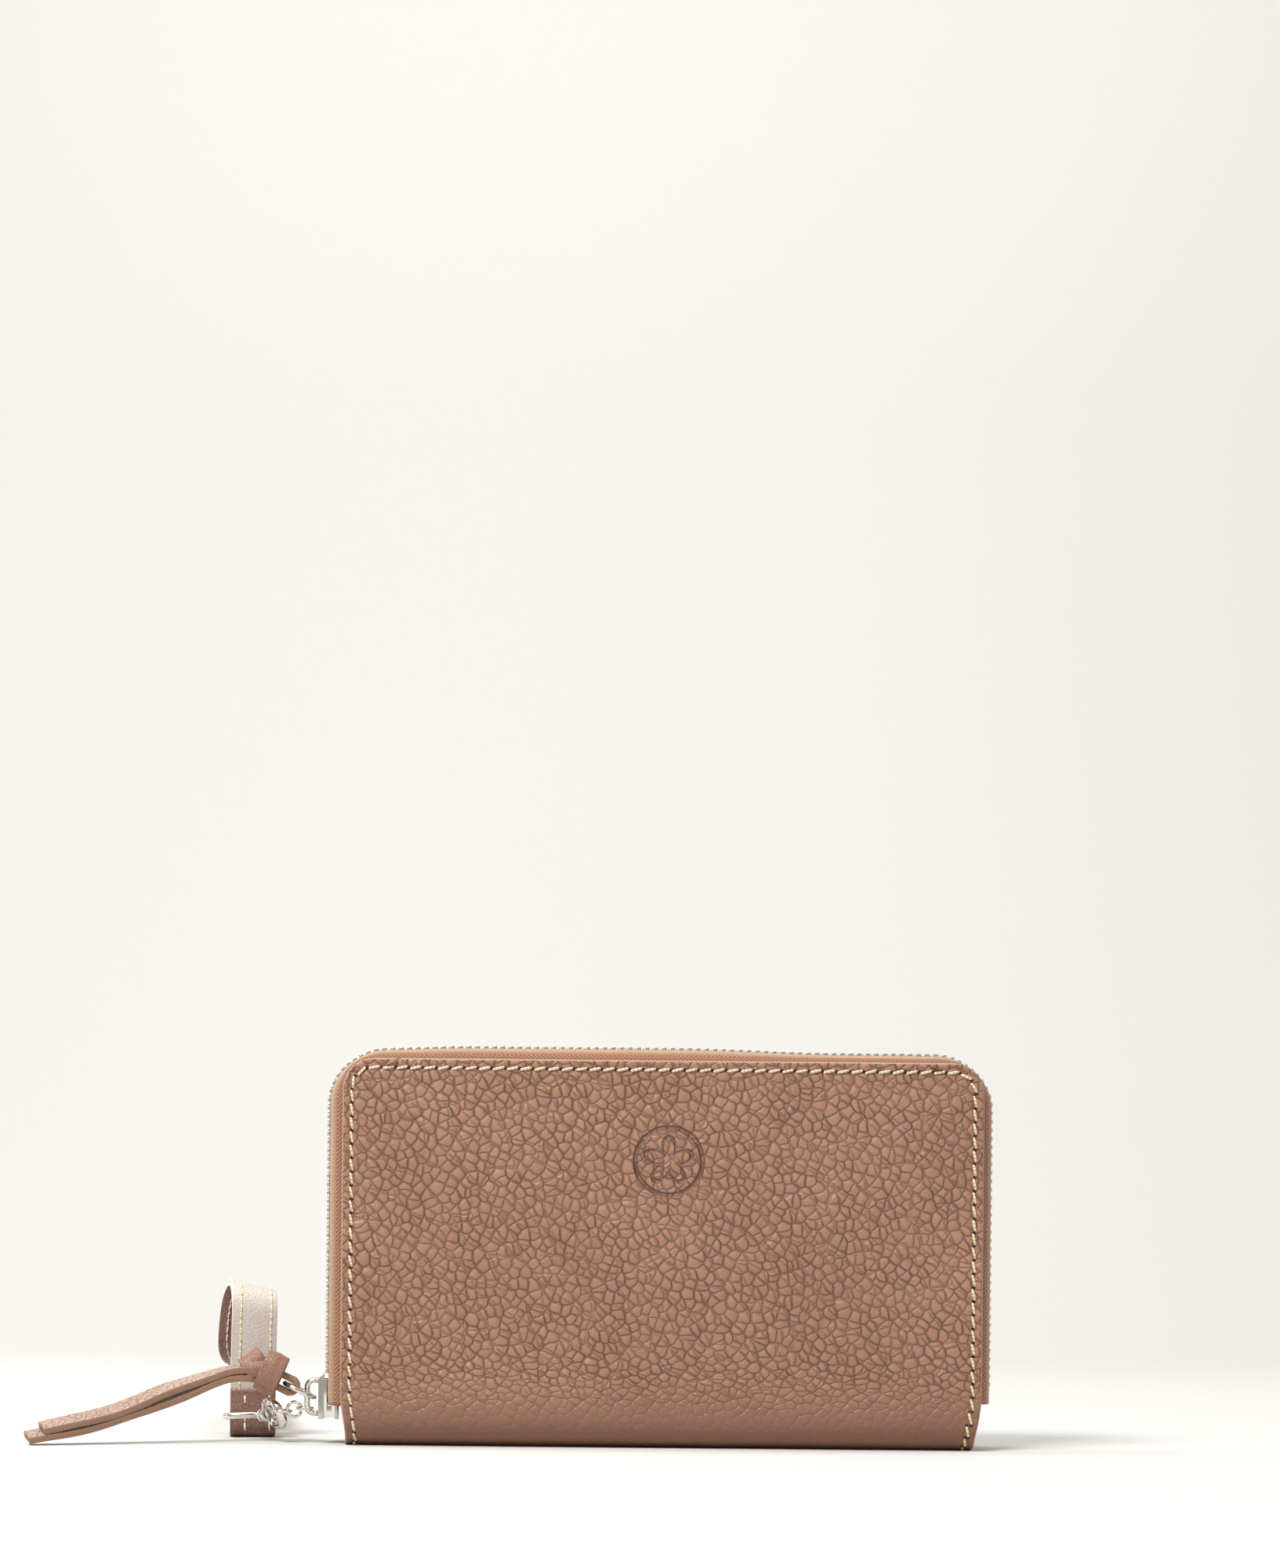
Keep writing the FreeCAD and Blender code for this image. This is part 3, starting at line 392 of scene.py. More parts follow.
# %% Nickel plate
def plated_metal(name, colour, roughness, smudge):
    m = new_material(name)
    place = add(m, "ShaderNodeTexCoord")
    film = add(m, "ShaderNodeTexNoise", {"Vector": (place, "Object"), "Scale": 1 / (3.0 * MM), "Detail": 4.0})
    rub = add(m, "ShaderNodeMapping", {"Vector": (place, "Object"), "Scale": (1.0, 0.12, 1.0)})
    lines = add(m, "ShaderNodeTexNoise", {"Vector": (rub, 0), "Scale": 1 / (0.12 * MM), "Detail": 2.0})
    rough = add(
        m, "ShaderNodeMapRange", {
            "Value": (film, 0), "To Min": roughness - smudge / 2, "To Max": roughness + smudge
        }
    )
    bump = add(m, "ShaderNodeBump", {"Height": (lines, 0), "Distance": 0.004 * MM, "Strength": 0.5})
    pale = [min(1.0, c * 1.06) for c in linear(colour)[:3]] + [1.0]
    tone = add(m, "ShaderNodeMix", {"Factor": (film, 0), 6: linear(colour), 7: pale}, data_type="RGBA")
    return finish_material(m, Base_Color=(tone, 2), Metallic=1.0, Roughness=(rough, 0), Normal=(bump, 0))


nickel = plated_metal("polished_nickel_plate", "#DEDAD3", 0.12, 0.10)
tooth_metal = plated_metal("satin_nickel_teeth", "#D2CCC2", 0.26, 0.12)

# %% [markdown]
# ## Lining, board and coil
#
# Inside, the covers carry a fine twill lining glued to a fibre board, and the coin pocket closes with a
# moulded nylon coil. Twill is two sets of threads, so two waves at right angles draw it.

# %% Lining, board and coil
def twill_material(name, colour, shade, pitch):
    m = new_material(name)
    place = add(m, "ShaderNodeTexCoord")
    waves = [
        add(
            m,
            "ShaderNodeTexWave",
            {"Vector": (place, "Object"), "Scale": 0.16 / pitch, "Distortion": 0.6, "Detail": 1.0},
            wave_type="BANDS",
            bands_direction=way,
        )
        for way in ("DIAGONAL", "Z")
    ]
    weave = add(m, "ShaderNodeMath", {0: (waves[0], 1), 1: (waves[1], 1)}, operation="MULTIPLY")
    slub = add(m, "ShaderNodeTexNoise", {"Vector": (place, "Object"), "Scale": 1 / (6 * MM), "Detail": 4.0})
    mixed = add(m, "ShaderNodeMath", {0: (slub, 0), 1: 0.5, 2: (weave, 0)}, operation="MULTIPLY_ADD")
    bump = add(m, "ShaderNodeBump", {"Height": (weave, 0), "Distance": 0.06 * MM, "Strength": 0.8})
    tone = add(
        m, "ShaderNodeMix", {"Factor": (mixed, 0), 6: linear(shade), 7: linear(colour)}, data_type="RGBA"
    )
    rough = add(m, "ShaderNodeMapRange", {"Value": (slub, 0), "To Min": 0.7, "To Max": 0.9})
    return finish_material(m, Base_Color=(tone, 2), Roughness=(rough, 0), Normal=(bump, 0), Sheen_Weight=0.2)


lining_twill = twill_material("twill_lining_walnut", "#6A4B3C", "#4A3227", 0.9 * MM)
fibre_board = edge_finish("pressed_fibre_board", "#8A7560", "#6E5B49", 0.85, 1.2 * MM, 0.1 * MM)
nylon_coil = edge_finish("moulded_nylon_coil", "#4A352B", "#3A2921", 0.35, 0.5 * MM, 0.03 * MM)
slot_leather = pebbled_leather(
    "smooth_lining_leather", "#7E5C4B", "#5E4235", "#8A6855", pebble=1.2 * MM, relief=0.05 * MM
)
print(len(bpy.data.materials), "materials")

# %% [markdown]
# ## Two ways to make a mesh
#
# Nearly all of the wallet is sheet or strip, so two builders are enough. `surface` turns a grid of points
# into a mesh. `sweep` carries a flat outline along a path, which makes wires, laces, straps and tapes. Both
# store each vertex's flat position as "grain", for the patterns.

# %% Mesh builders
def object_from(name, points, faces, materials, face_materials=None, grain=None):
    mesh = bpy.data.meshes.new(name)
    mesh.from_pydata([tuple(p) for p in points], [], faces)
    for material in materials:
        mesh.materials.append(material)
    if face_materials is not None:
        mesh.polygons.foreach_set("material_index", face_materials)
    mesh.polygons.foreach_set("use_smooth", [True] * len(mesh.polygons))
    if grain is not None:
        layer = mesh.attributes.new("grain", "FLOAT_VECTOR", "POINT")
        layer.data.foreach_set("vector", np.asarray(grain, np.float32).ravel())
    mesh.update()
    made = bpy.data.objects.new(name, mesh)
    bpy.context.scene.collection.objects.link(made)
    return made


def surface(name, grid, grain, materials, flip=False):
    """A sheet through a grid of points, rows by columns."""
    rows, cols = grid.shape[:2]
    faces = []
    for i in range(rows - 1):
        for j in range(cols - 1):
            a = i * cols + j
            quad = (a, a + 1, a + cols + 1, a + cols)
            faces.append(quad[::-1] if flip else quad)
    return object_from(name, grid.reshape(-1, 3), faces, materials, grain=grain.reshape(-1, 3))


def unit(v):
    v = np.asarray(v, float)
    return v / np.maximum(np.linalg.norm(v, axis=-1, keepdims=True), 1e-12)


def tangents(path, closed):
    if closed:
        return unit(np.roll(path, -1, 0) - np.roll(path, 1, 0))
    return unit(np.gradient(path, axis=0))


def sweep(
    name, outline, path, side, materials, closed=False, size=None, edge_slots=None, start=0.0, caps=True
):
    """Carries outline, as (across, up) points, along the path. side is the across direction."""
    path = np.asarray(path, float)
    outline = np.asarray(outline, float)
    n, k = len(path), len(outline)
    along = tangents(path, closed)
    side = np.broadcast_to(np.asarray(side, float), path.shape)
    side = unit(side - along * (side * along).sum(1, keepdims=True))
    up = np.cross(along, side)
    size = np.ones(n) if size is None else np.asarray(size, float)
    a = outline[None, :, 0] * size[:, None]
    b = outline[None, :, 1] * size[:, None]
    points = path[:, None] + a[..., None] * side[:, None] + b[..., None] * up[:, None]
    steps = np.linalg.norm(np.diff(path, axis=0), axis=1)
    s = start + np.concatenate([[0.0], np.cumsum(steps)])
    girth = np.concatenate([[0.0], np.cumsum(np.linalg.norm(np.diff(outline, axis=0), axis=1))])
    flat = np.stack([np.broadcast_to(s[:, None], a.shape), np.broadcast_to(girth, a.shape), b * 0 + a], -1)
    faces, slots = [], []
    for i in range(n if closed else n - 1):
        for j in range(k):
            i2, j2 = (i + 1) % n, (j + 1) % k
            faces.append((i * k + j, i * k + j2, i2 * k + j2, i2 * k + j))
            slots.append(edge_slots[j] if edge_slots else 0)
    if caps and not closed:
        end_slot = max(slots)
        faces += [tuple(range(k))[::-1], tuple((n - 1) * k + j for j in range(k))]
        slots += [end_slot, end_slot]
    return object_from(name, points.reshape(-1, 3), faces, materials, slots, flat.reshape(-1, 3))


def circle(radius, count=12):
    turn = np.linspace(0, 2 * math.pi, count, endpoint=False)
    return np.stack([np.cos(turn), np.sin(turn)], 1) * radius


def strip_outline(half_w, low, high, round_r):
    """A flat strip's section with rounded edges. The edges between its corners are its cut sides."""
    points = []
    for cx, cy, first in (
        (half_w - round_r, high - round_r, 0.0),
        (-half_w + round_r, high - round_r, 90.0),
        (-half_w + round_r, low + round_r, 180.0),
        (half_w - round_r, low + round_r, 270.0),
    ):
        for step in range(4):
            t = math.radians(first + 30.0 * step)
            points.append((cx + math.cos(t) * round_r, cy + math.sin(t) * round_r))
    return points


STRIP_SLOTS = [1, 1, 0, 0, 0, 1, 1, 1, 1, 1, 0, 0, 0, 1, 1, 1]


def spline(points, count):
    """A smooth curve through the points, as evenly spaced samples."""
    points = np.asarray(points, float)
    ends = np.vstack([2 * points[0] - points[1], points, 2 * points[-1] - points[-2]])
    made = []
    for i in range(1, len(ends) - 2):
        p0, p1, p2, p3 = ends[i - 1 : i + 3]
        for t in np.linspace(0, 1, 24, endpoint=False):
            made.append(
                0.5
                * (
                    2 * p1
                    + (p2 - p0) * t
                    + (2 * p0 - 5 * p1 + 4 * p2 - p3) * t**2
                    + (3 * p1 - p0 - 3 * p2 + p3) * t**3
                )
            )
    made = np.array(made + [ends[-2]])
    s = np.concatenate([[0.0], np.cumsum(np.linalg.norm(np.diff(made, axis=0), axis=1))])
    even = np.linspace(0, s[-1], count)
    return np.stack([np.interp(even, s, made[:, c]) for c in range(3)], 1)


def place(piece, body, *nodes, slot=None):
    """Puts a finished piece on its body, in place of the CAD nodes it stands for."""
    if nodes:
        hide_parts(*nodes)
    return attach(piece, body)


def settle(piece):
    """Applies the piece's modifiers, so that its mesh is final."""
    graph = bpy.context.evaluated_depsgraph_get()
    mesh = bpy.data.meshes.new_from_object(piece.evaluated_get(graph))
    piece.modifiers.clear()
    piece.data = mesh
    return piece


# %% [markdown]
# ## The covers' leather
#
# Each cover is one hide that runs down the front, turns under and meets the other along the middle of the
# spine. It is drawn as a grid: rows follow the hide from that middle line up to the top edge, and columns
# run across. The top corners are rounded by narrowing the rows. The hide is softly crowned, sinks along the
# stitching and thins at its edge.

# %% The hide's shape
EDGE_ROUND = 0.7 * MM
FLAT_HALF = DEPTH - SPINE_R
ARC = SPINE_R * math.pi / 2
TOP_S = FLAT_HALF + ARC + TOP - SPINE_R


def profile(s):
    """(distance out from the middle, height, outward y, outward z) at s along the hide."""
    if s < FLAT_HALF:
        return s, 0.0, 0.0, -1.0
    if s < FLAT_HALF + ARC:
        t = (s - FLAT_HALF) / SPINE_R
        return FLAT_HALF + SPINE_R * math.sin(t), SPINE_R * (1 - math.cos(t)), math.sin(t), -math.cos(t)
    return DEPTH, SPINE_R + s - FLAT_HALF - ARC, 1.0, 0.0


def smooth(low, high, value):
    """0 at low and 1 at high, with an eased ramp between them."""
    t = min(1.0, max(0.0, (value - low) / (high - low)))
    return t * t * (3 - 2 * t)


def half_width(s):
    """Half of the hide's width: drawn in at the spine, and rounded at the top corners."""
    z = profile(s)[1]
    w = SPINE_HALF_W + (HALF_W - SPINE_HALF_W) * smooth(1 * MM, 15 * MM, z if s > FLAT_HALF else 0.0)
    rise = z - (TOP - CORNER_R)
    if rise > 0:
        w -= CORNER_R - math.sqrt(max(CORNER_R**2 - rise**2, 0.0))
    return w


def edge_distance(x, s):
    """How far a point of the hide lies inside its stitched outline."""
    z = profile(s)[1]
    across, up = abs(x) - (HALF_W - CORNER_R), z - (TOP - CORNER_R)
    if across > 0 and up > 0:
        return CORNER_R - math.hypot(across, up)
    return min(half_width(s) - abs(x), TOP - z)


def hide_point(x, s, side, lift=0.0):
    """A point on the hide, and its outward direction. side is -1 for the front and 1 for the back."""
    y, z, ny, nz = profile(s)
    d = edge_distance(x, s)
    rise = 0.45 * MM * smooth(1 * MM, 30 * MM, d)
    rise -= 0.26 * MM * math.exp(-(((d - STITCH_INSET) / (0.75 * MM)) ** 2))
    rounding = max(0.0, EDGE_ROUND - d)
    rise -= EDGE_ROUND - math.sqrt(max(EDGE_ROUND**2 - rounding**2, 0.0)) if z > 2 * MM else 0.0
    wave = noise.noise(Vector((x / (34 * MM), s / (26 * MM), side * 7.0)))
    rise += 0.16 * MM * wave * smooth(3 * MM, 20 * MM, d)
    on_floor = smooth(0.0, 3 * MM, z)
    rise = rise * on_floor + lift
    return Vector((x, side * (y + ny * rise), z + nz * rise)), Vector((0, side * ny, nz))


# %% The two hides
def cover_hide(side, name, material):
    step = 0.4 * MM
    rows = list(np.arange(0.0, TOP_S - 13 * MM, 1.0 * MM)) + list(np.linspace(TOP_S - 13 * MM, TOP_S, 34)[1:])
    margin = np.arange(0.0, 6.4 * MM, step)
    inner = np.linspace(6.4 * MM, 2 * HALF_W - 6.4 * MM, 96)
    grid, grain = [], []
    for s in rows:
        w = half_width(s)
        share = inner / (2 * HALF_W)
        line = [-w + d for d in margin] + [-w + 2 * w * t for t in share] + [w - d for d in margin[::-1]]
        stretch = 1.0 - 0.45 * (1 - smooth(6 * MM, 34 * MM, s))
        for x in line:
            grid.append(hide_point(x, s, side)[0])
            # the hide is drawn tight round the spine, so its pebbles are pulled long there
            grain.append((x * (1.0 + 0.12 * (1 - stretch)), s * stretch if s < 34 * MM else s, side * 9 * MM))
    cols = len(margin) * 2 + len(inner)
    shape = (len(rows), cols, 3)
    hide = surface(
        name, np.array(grid).reshape(shape), np.array(grain).reshape(shape), [material, edge_paint], side > 0
    )
    # edge paint creeps a little way over the rounded edge
    for index, polygon in enumerate(hide.data.polygons):
        i, j = divmod(index, cols - 1)
        if j in (0, cols - 2) or i == len(rows) - 2:
            polygon.material_index = 1
    solid = hide.modifiers.new("thickness", "SOLIDIFY")
    solid.thickness = LEATHER_T
    solid.offset = -1.0
    solid.material_offset_rim = 1
    round_rim = hide.modifiers.new("rounded edge", "BEVEL")
    round_rim.width = 0.16 * MM
    round_rim.segments = 2
    round_rim.limit_method = "ANGLE"
    round_rim.angle_limit = math.radians(50)
    round_rim.material = 1
    return settle(hide)


def bend_at_hinge(piece, side, body):
    """Bakes the piece's placement into its mesh; the piece is not tied to the spine or to the cover."""
    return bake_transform(piece)


front_hide = cover_hide(-1, "front_hide", cover_leather)
back_hide = cover_hide(1, "back_hide", back_leather)
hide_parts("front_cover_leather", "spine_leather")
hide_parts("back_cover_leather")
for side, body, hide in ((-1, "front_cover", front_hide), (1, "back_cover", back_hide)):
    bend_at_hinge(hide, side, body)
print("hide vertices:", len(front_hide.data.vertices), len(back_hide.data.vertices))

# %% [markdown]
# ## Stitching
#
# A saddle stitch runs 2.6 mm inside the edge, up one side, over the top and down the other. Each stitch is a
# short length of thread that comes out of one hole and dives into the next, lying a little askew. The holes
# are punched, and each is drawn as a small dark disc: painted shadow in the hole.

# %% Stitches round each cover
def stitch_line():
    """(x, s, direction) at each stitch, from the lower left round to the lower right."""
    inset_r = CORNER_R - STITCH_INSET
    corner_s = TOP_S - CORNER_R
    start_s = FLAT_HALF + 0.5 * MM
    rise, bend = corner_s - start_s, inset_r * math.pi / 2
    across = 2 * (HALF_W - CORNER_R)
    total = 2 * rise + 2 * bend + across
    count = round(total / STITCH_PITCH)
    for n in range(count):
        d = (n + 0.5) * total / count
        if d < rise:
            s = start_s + d
            yield -(half_width(s) - STITCH_INSET), s, (0.0, 1.0)
        elif d < rise + bend:
            t = (d - rise) / inset_r
            x, s = -(HALF_W - CORNER_R) - math.cos(t) * inset_r, corner_s + math.sin(t) * inset_r
            yield x, s, (math.sin(t), math.cos(t))
        elif d < rise + bend + across:
            yield -(HALF_W - CORNER_R) + d - rise - bend, TOP_S - STITCH_INSET, (1.0, 0.0)
        elif d < rise + 2 * bend + across:
            t = (d - rise - bend - across) / inset_r
            x, s = HALF_W - CORNER_R + math.sin(t) * inset_r, corner_s + math.cos(t) * inset_r
            yield x, s, (math.cos(t), -math.sin(t))
        else:
            s = corner_s - (d - rise - 2 * bend - across)
            yield half_width(s) - STITCH_INSET, s, (0.0, -1.0)


def joined(name, pieces):
    """Several pieces as one mesh."""
    points, faces, slots, grain, materials = [], [], [], [], []
    for piece in pieces:
        mesh = piece.data
        base = len(points)
        points += [piece.matrix_world @ v.co for v in mesh.vertices]
        own = [m for m in mesh.materials]
        for m in own:
            if m not in materials:
                materials.append(m)
        faces += [tuple(base + v for v in p.vertices) for p in mesh.polygons]
        slots += [materials.index(own[p.material_index]) for p in mesh.polygons]
        if "grain" in mesh.attributes:
            grain += [tuple(v.vector) for v in mesh.attributes["grain"].data]
        else:
            grain += [(0, 0, 0)] * len(mesh.vertices)
        bpy.data.objects.remove(piece)
        bpy.data.meshes.remove(mesh)
    return object_from(name, points, faces, materials, slots, grain)


def sew(name, places, surface_point, material, length, radius, tilt=0.10, holes=True):
    """Threads and holes at (x, s, direction) places on a surface."""
    threads, hole_shadow_discs = [], []
    rng = np.random.default_rng(11)
    for number, (x, s, (dx, ds)) in enumerate(places):
        turn = tilt + rng.uniform(-0.04, 0.04)
        dx, ds = dx * math.cos(turn) - ds * math.sin(turn), dx * math.sin(turn) + ds * math.cos(turn)
        fat = radius * rng.uniform(0.94, 1.06)
        path = []
        for t, up in (
            (-0.5, -0.6), (-0.47, 0.0), (-0.38, 0.50), (0.0, 0.72), (0.38, 0.50), (0.47, 0.0), (0.5, -0.6)
        ):
            path.append(surface_point(x + dx * length * t, s + ds * length * t, up * fat)[0])
        normal = surface_point(x, s, 0.0)[1]
        along = np.array(path[-1] - path[0])
        size = [0.55, 0.85, 1.0, 1.08, 1.0, 0.85, 0.55]
        across = np.cross(np.array(normal), along)
        threads.append(
            sweep("stitch", circle(fat, 8), path, across, [material], size=size, start=number * 1.37 * MM)
        )
        if holes:
            for end in (-0.555, 0.555):
                centre, normal = surface_point(x + dx * length * end, s + ds * length * end, 0.0)
                disc = circle(1.6 * radius, 10)
                u = Vector(along).normalized()
                v = Vector(normal).cross(u).normalized()
                rim = [centre + normal * 0.02 * MM + u * p[0] * 1.15 + v * p[1] * 0.95 for p in disc]
                points = rim + [centre + normal * 0.05 * MM]
                faces = [(i, (i + 1) % 10, 10) for i in range(10)]
                hole_shadow_discs.append(object_from("hole", points, faces, [stitch_hole]))
    made = [joined(name, threads)]
    if holes:
        made.append(joined(name + "_holes", hole_shadow_discs))
    for piece in made:
        # threads under the spine and the strap are pressed flat against the floor
        for vertex in piece.data.vertices:
            vertex.co.z = max(vertex.co.z, 0.02 * MM)
    return made


for side, name, body in ((-1, "front", "front_cover"), (1, "back", "back_cover")):
    sewn = sew(
        name + "_stitching",
        stitch_line(),
        lambda x, s, lift, side=side: hide_point(x, s, side, lift),
        cover_thread,
        STITCH_PITCH * 0.80,
        0.36 * MM,
        tilt=0.22,
    )
    for piece in sewn:
        bend_at_hinge(piece, side, body)
print("stitches per cover:", len(list(stitch_line())))

# %% [markdown]
# ## The zip
#
# Each tape is sewn inside its cover's edge and curves out and over to the chain. Its section is swept up the
# left side, over the top and down the right. Each metal tooth is a clamp closed on the tape's cord, with a
# narrower head that meshes between the two teeth opposite. The chain isn't ruled straight along the top: it
# bows up by a millimetre or so where the tapes are slack.

# %% The chain's line
def zip_line(out, z_left, z_right, pitch=None, offset=0.0, count=None):
    """(point, outward, along, run) from the lower left round to the lower right, at a distance out."""
    cx, cz = HALF_W - CORNER_R, TOP - CORNER_R
    r = CORNER_R + out
    rise, bend, across, fall = cz - z_left, r * math.pi / 2, 2 * cx, cz - z_right
    total = rise + 2 * bend + across + fall
    stations = np.arange(offset, total, pitch) if pitch else np.linspace(0, total, count)
    for d in stations:
        if d < rise:
            p, o, a = (-HALF_W - out, z_left + d), (-1, 0), (0, 1)
        elif d < rise + bend:
            t = (d - rise) / r
            o, a = (-math.cos(t), math.sin(t)), (math.sin(t), math.cos(t))
            p = (-cx + o[0] * r, cz + o[1] * r)
        elif d < rise + bend + across:
            p, o, a = (-cx + d - rise - bend, TOP + out), (0, 1), (1, 0)
        elif d < rise + 2 * bend + across:
            t = (d - rise - bend - across) / r
            o, a = (math.sin(t), math.cos(t)), (math.cos(t), -math.sin(t))
            p = (cx + o[0] * r, cz + o[1] * r)
        else:
            p, o, a = (HALF_W + out, cz - (d - rise - 2 * bend - across)), (1, 0), (0, -1)
        yield Vector((p[0], 0, p[1])), Vector((o[0], 0, o[1])), Vector((a[0], 0, a[1])), d


ZIP_CORNER_R = 15.0 * MM


def corner_drop(x, z):
    """The zip rounds the corners more gently than the covers do, and so it lies closer to them there."""
    cx, cz = HALF_W - CORNER_R, TOP - CORNER_R
    near, k = CORNER_R + CHAIN_U, ZIP_CORNER_R - CORNER_R - CHAIN_U
    short = min(abs(x) - cx, z - cz)
    if short <= 0:
        before = max(0.0, k + short)
        return ZIP_CORNER_R - math.sqrt(ZIP_CORNER_R**2 - before**2)
    t = math.atan2(z - cz, abs(x) - cx)
    spread = k * (math.cos(t) + math.sin(t))
    return near + spread - math.sqrt(spread**2 + ZIP_CORNER_R**2 - 2 * k**2)


def slack(x, z):
    """How much closer to the covers the chain lies than its highest run, at a place along it."""
    if z < TOP - CORNER_R - 5 * MM:
        return 0.0
    turn = math.atan2(max(0.0, abs(x) - (HALF_W - CORNER_R)), max(0.0, z - (TOP - CORNER_R)))
    down = 1.0 * MM * smooth(5 * MM, 48 * MM, x) + 0.7 * MM * smooth(-52 * MM, -76 * MM, x)
    return corner_drop(x, z) + down * math.cos(turn)


def zip_tape_piece(side, name):
    """The tape's section is a row of (outward, y) points: out from the cover's edge and over to the chain."""
    half = 0.34 * MM
    held = DEPTH - LEATHER_T - 0.25 * MM
    inside = held / MM
    centre = [(-6.3, inside), (-3.0, inside), (-1.2, inside), (0.0, inside - 0.25), (1.3, inside - 1.1)]
    centre += [
        (2.3, inside - 2.7), (2.85, inside - 4.6), (3.0, inside - 6.2), (3.0, 2.6), (3.0, 1.6), (3.0, 0.95)
    ]
    centre = np.array(centre) * MM
    centre[:, 0] = np.where(centre[:, 0] > 2.9 * MM, CHAIN_U, centre[:, 0])
    run = np.gradient(centre, axis=0)
    normal = unit(np.stack([-run[:, 1], run[:, 0]], 1))
    cord = np.where(centre[:, 1] < 2.2 * MM, 1.25, 1.0)[:, None]
    section = np.vstack([centre + normal * half * cord, (centre - normal * half * cord)[::-1]])
    walk = np.concatenate([[0], np.cumsum(np.linalg.norm(np.diff(centre, axis=0), axis=1))])
    walk = np.concatenate([walk, walk[::-1]])
    count = 330
    grid, grain = [], []
    for p, out, along, d in zip_line(0.0, TAPE_Z0, TAPE_Z0 + 2 * MM, count=count):
        for (u, y), w in zip(section, walk):
            drop = slack(p.x, p.z) * smooth(0.0, CHAIN_U, u)
            grid.append(p + out * (u - drop) + Vector((0, side * y, 0)))
            grain.append((d, w, y))
    k = len(section)
    faces = []
    for i in range(count - 1):
        for j in range(k):
            a, b = i * k + j, i * k + (j + 1) % k
            quad = (a, b, b + k, a + k)
            faces.append(quad if side > 0 else quad[::-1])
    faces += [tuple(range(k)), tuple((count - 1) * k + j for j in range(k))]
    return object_from(name, grid, faces, [zip_tape], grain=grain)


for side, name in ((-1, "front"), (1, "back")):
    piece = zip_tape_piece(side, name + "_tape")
    place(piece, name + "_cover", name + "_zip_tape", slot="zip_tape")

# %% Teeth and stops
def rounded_block(low, high, bevel):
    """Corner points and faces of a block with its edges eased."""
    work = bmesh.new()
    bmesh.ops.create_cube(work, size=1.0)
    for v in work.verts:
        v.co = Vector([low[i] if v.co[i] < 0 else high[i] for i in range(3)])
    bmesh.ops.bevel(work, geom=work.edges[:], offset=bevel, segments=2, profile=0.6, affect="EDGES")
    work.verts.index_update()
    points = [v.co.copy() for v in work.verts]
    faces = [tuple(v.index for v in f.verts) for f in work.faces]
    work.free()
    return points, faces


def one_tooth():
    """Local axes in mm: x outward, y towards the other tape, z along the chain."""
    parts = [
        rounded_block((-1.2, -2.9, -0.58), (-0.38, -0.72, 0.58), 0.16),
        rounded_block((0.38, -2.9, -0.58), (1.2, -0.72, 0.58), 0.16),
        rounded_block((-1.2, -1.05, -0.52), (1.2, -0.55, 0.52), 0.14),
        rounded_block((-0.9, -0.85, -0.41), (0.9, 0.66, 0.41), 0.20),
    ]
    points, faces = [], []
    for own_points, own_faces in parts:
        base = len(points)
        points += own_points
        faces += [tuple(base + i for i in face) for face in own_faces]
    return points, faces


TOOTH_PITCH = 2.3 * MM
LOWEST_TOOTH_LEFT, LOWEST_TOOTH_RIGHT = 19.6 * MM, 17.0 * MM
tooth_points, tooth_faces = one_tooth()
for side, name, start in ((-1, "front", 0.0), (1, "back", TOOTH_PITCH / 2)):
    points, faces = [], []
    places = zip_line(CHAIN_U, LOWEST_TOOTH_LEFT, LOWEST_TOOTH_RIGHT, pitch=TOOTH_PITCH, offset=start)
    for p, out, along, d in places:
        toward = Vector((0, -side, 0))
        third = out.cross(toward)
        base = len(points)
        p = p - out * slack(p.x, p.z)
        points += [p + (out * q.x + toward * q.y + third * q.z) * MM for q in tooth_points]
        faces += [tuple(base + i for i in face) for face in tooth_faces]
    row = object_from(name + "_teeth", points, faces, [tooth_metal])
    place(row, name + "_cover", name + "_zip_teeth", slot="nickel")
    print(name, "teeth:", len(points) // len(tooth_points))


def eased_copy(name, node, material, bevel, segments=2):
    """A CAD node's shape with its sharp edges rounded over, as casting and tumbling leave them."""
    mesh = frame["nodes"][node].data.copy()
    mesh.materials.clear()
    mesh.materials.append(material)
    work = bmesh.new()
    work.from_mesh(mesh)
    bmesh.ops.remove_doubles(work, verts=work.verts, dist=0.002 * MM)
    bmesh.ops.dissolve_limit(work, angle_limit=math.radians(1), verts=work.verts, edges=work.edges)
    work.to_mesh(mesh)
    work.free()
    for polygon in mesh.polygons:
        polygon.material_index = 0
    made = bpy.data.objects.new(name, mesh)
    bpy.context.scene.collection.objects.link(made)
    ease = made.modifiers.new("eased edges", "BEVEL")
    ease.width = bevel
    ease.segments = segments
    ease.limit_method = "ANGLE"
    ease.angle_limit = math.radians(30)
    settle(made)
    made.data.polygons.foreach_set("use_smooth", [True] * len(made.data.polygons))
    return made


for node, body in (
    ("front_zip_stop", "front_cover"), ("back_zip_stop", "back_cover"), ("zip_end_clip", "back_cover")
):
    place(eased_copy(node + "_clip", node, tooth_metal, 0.15 * MM), body, node, slot="nickel")

# %% [markdown]
# ## Slider, ring and chain
#
# The slider is die-cast: two plates with turned-in edges, joined by a post. Its arch and the rings are bent
# wire. A jump ring is cut once, so each has a hairline gap.

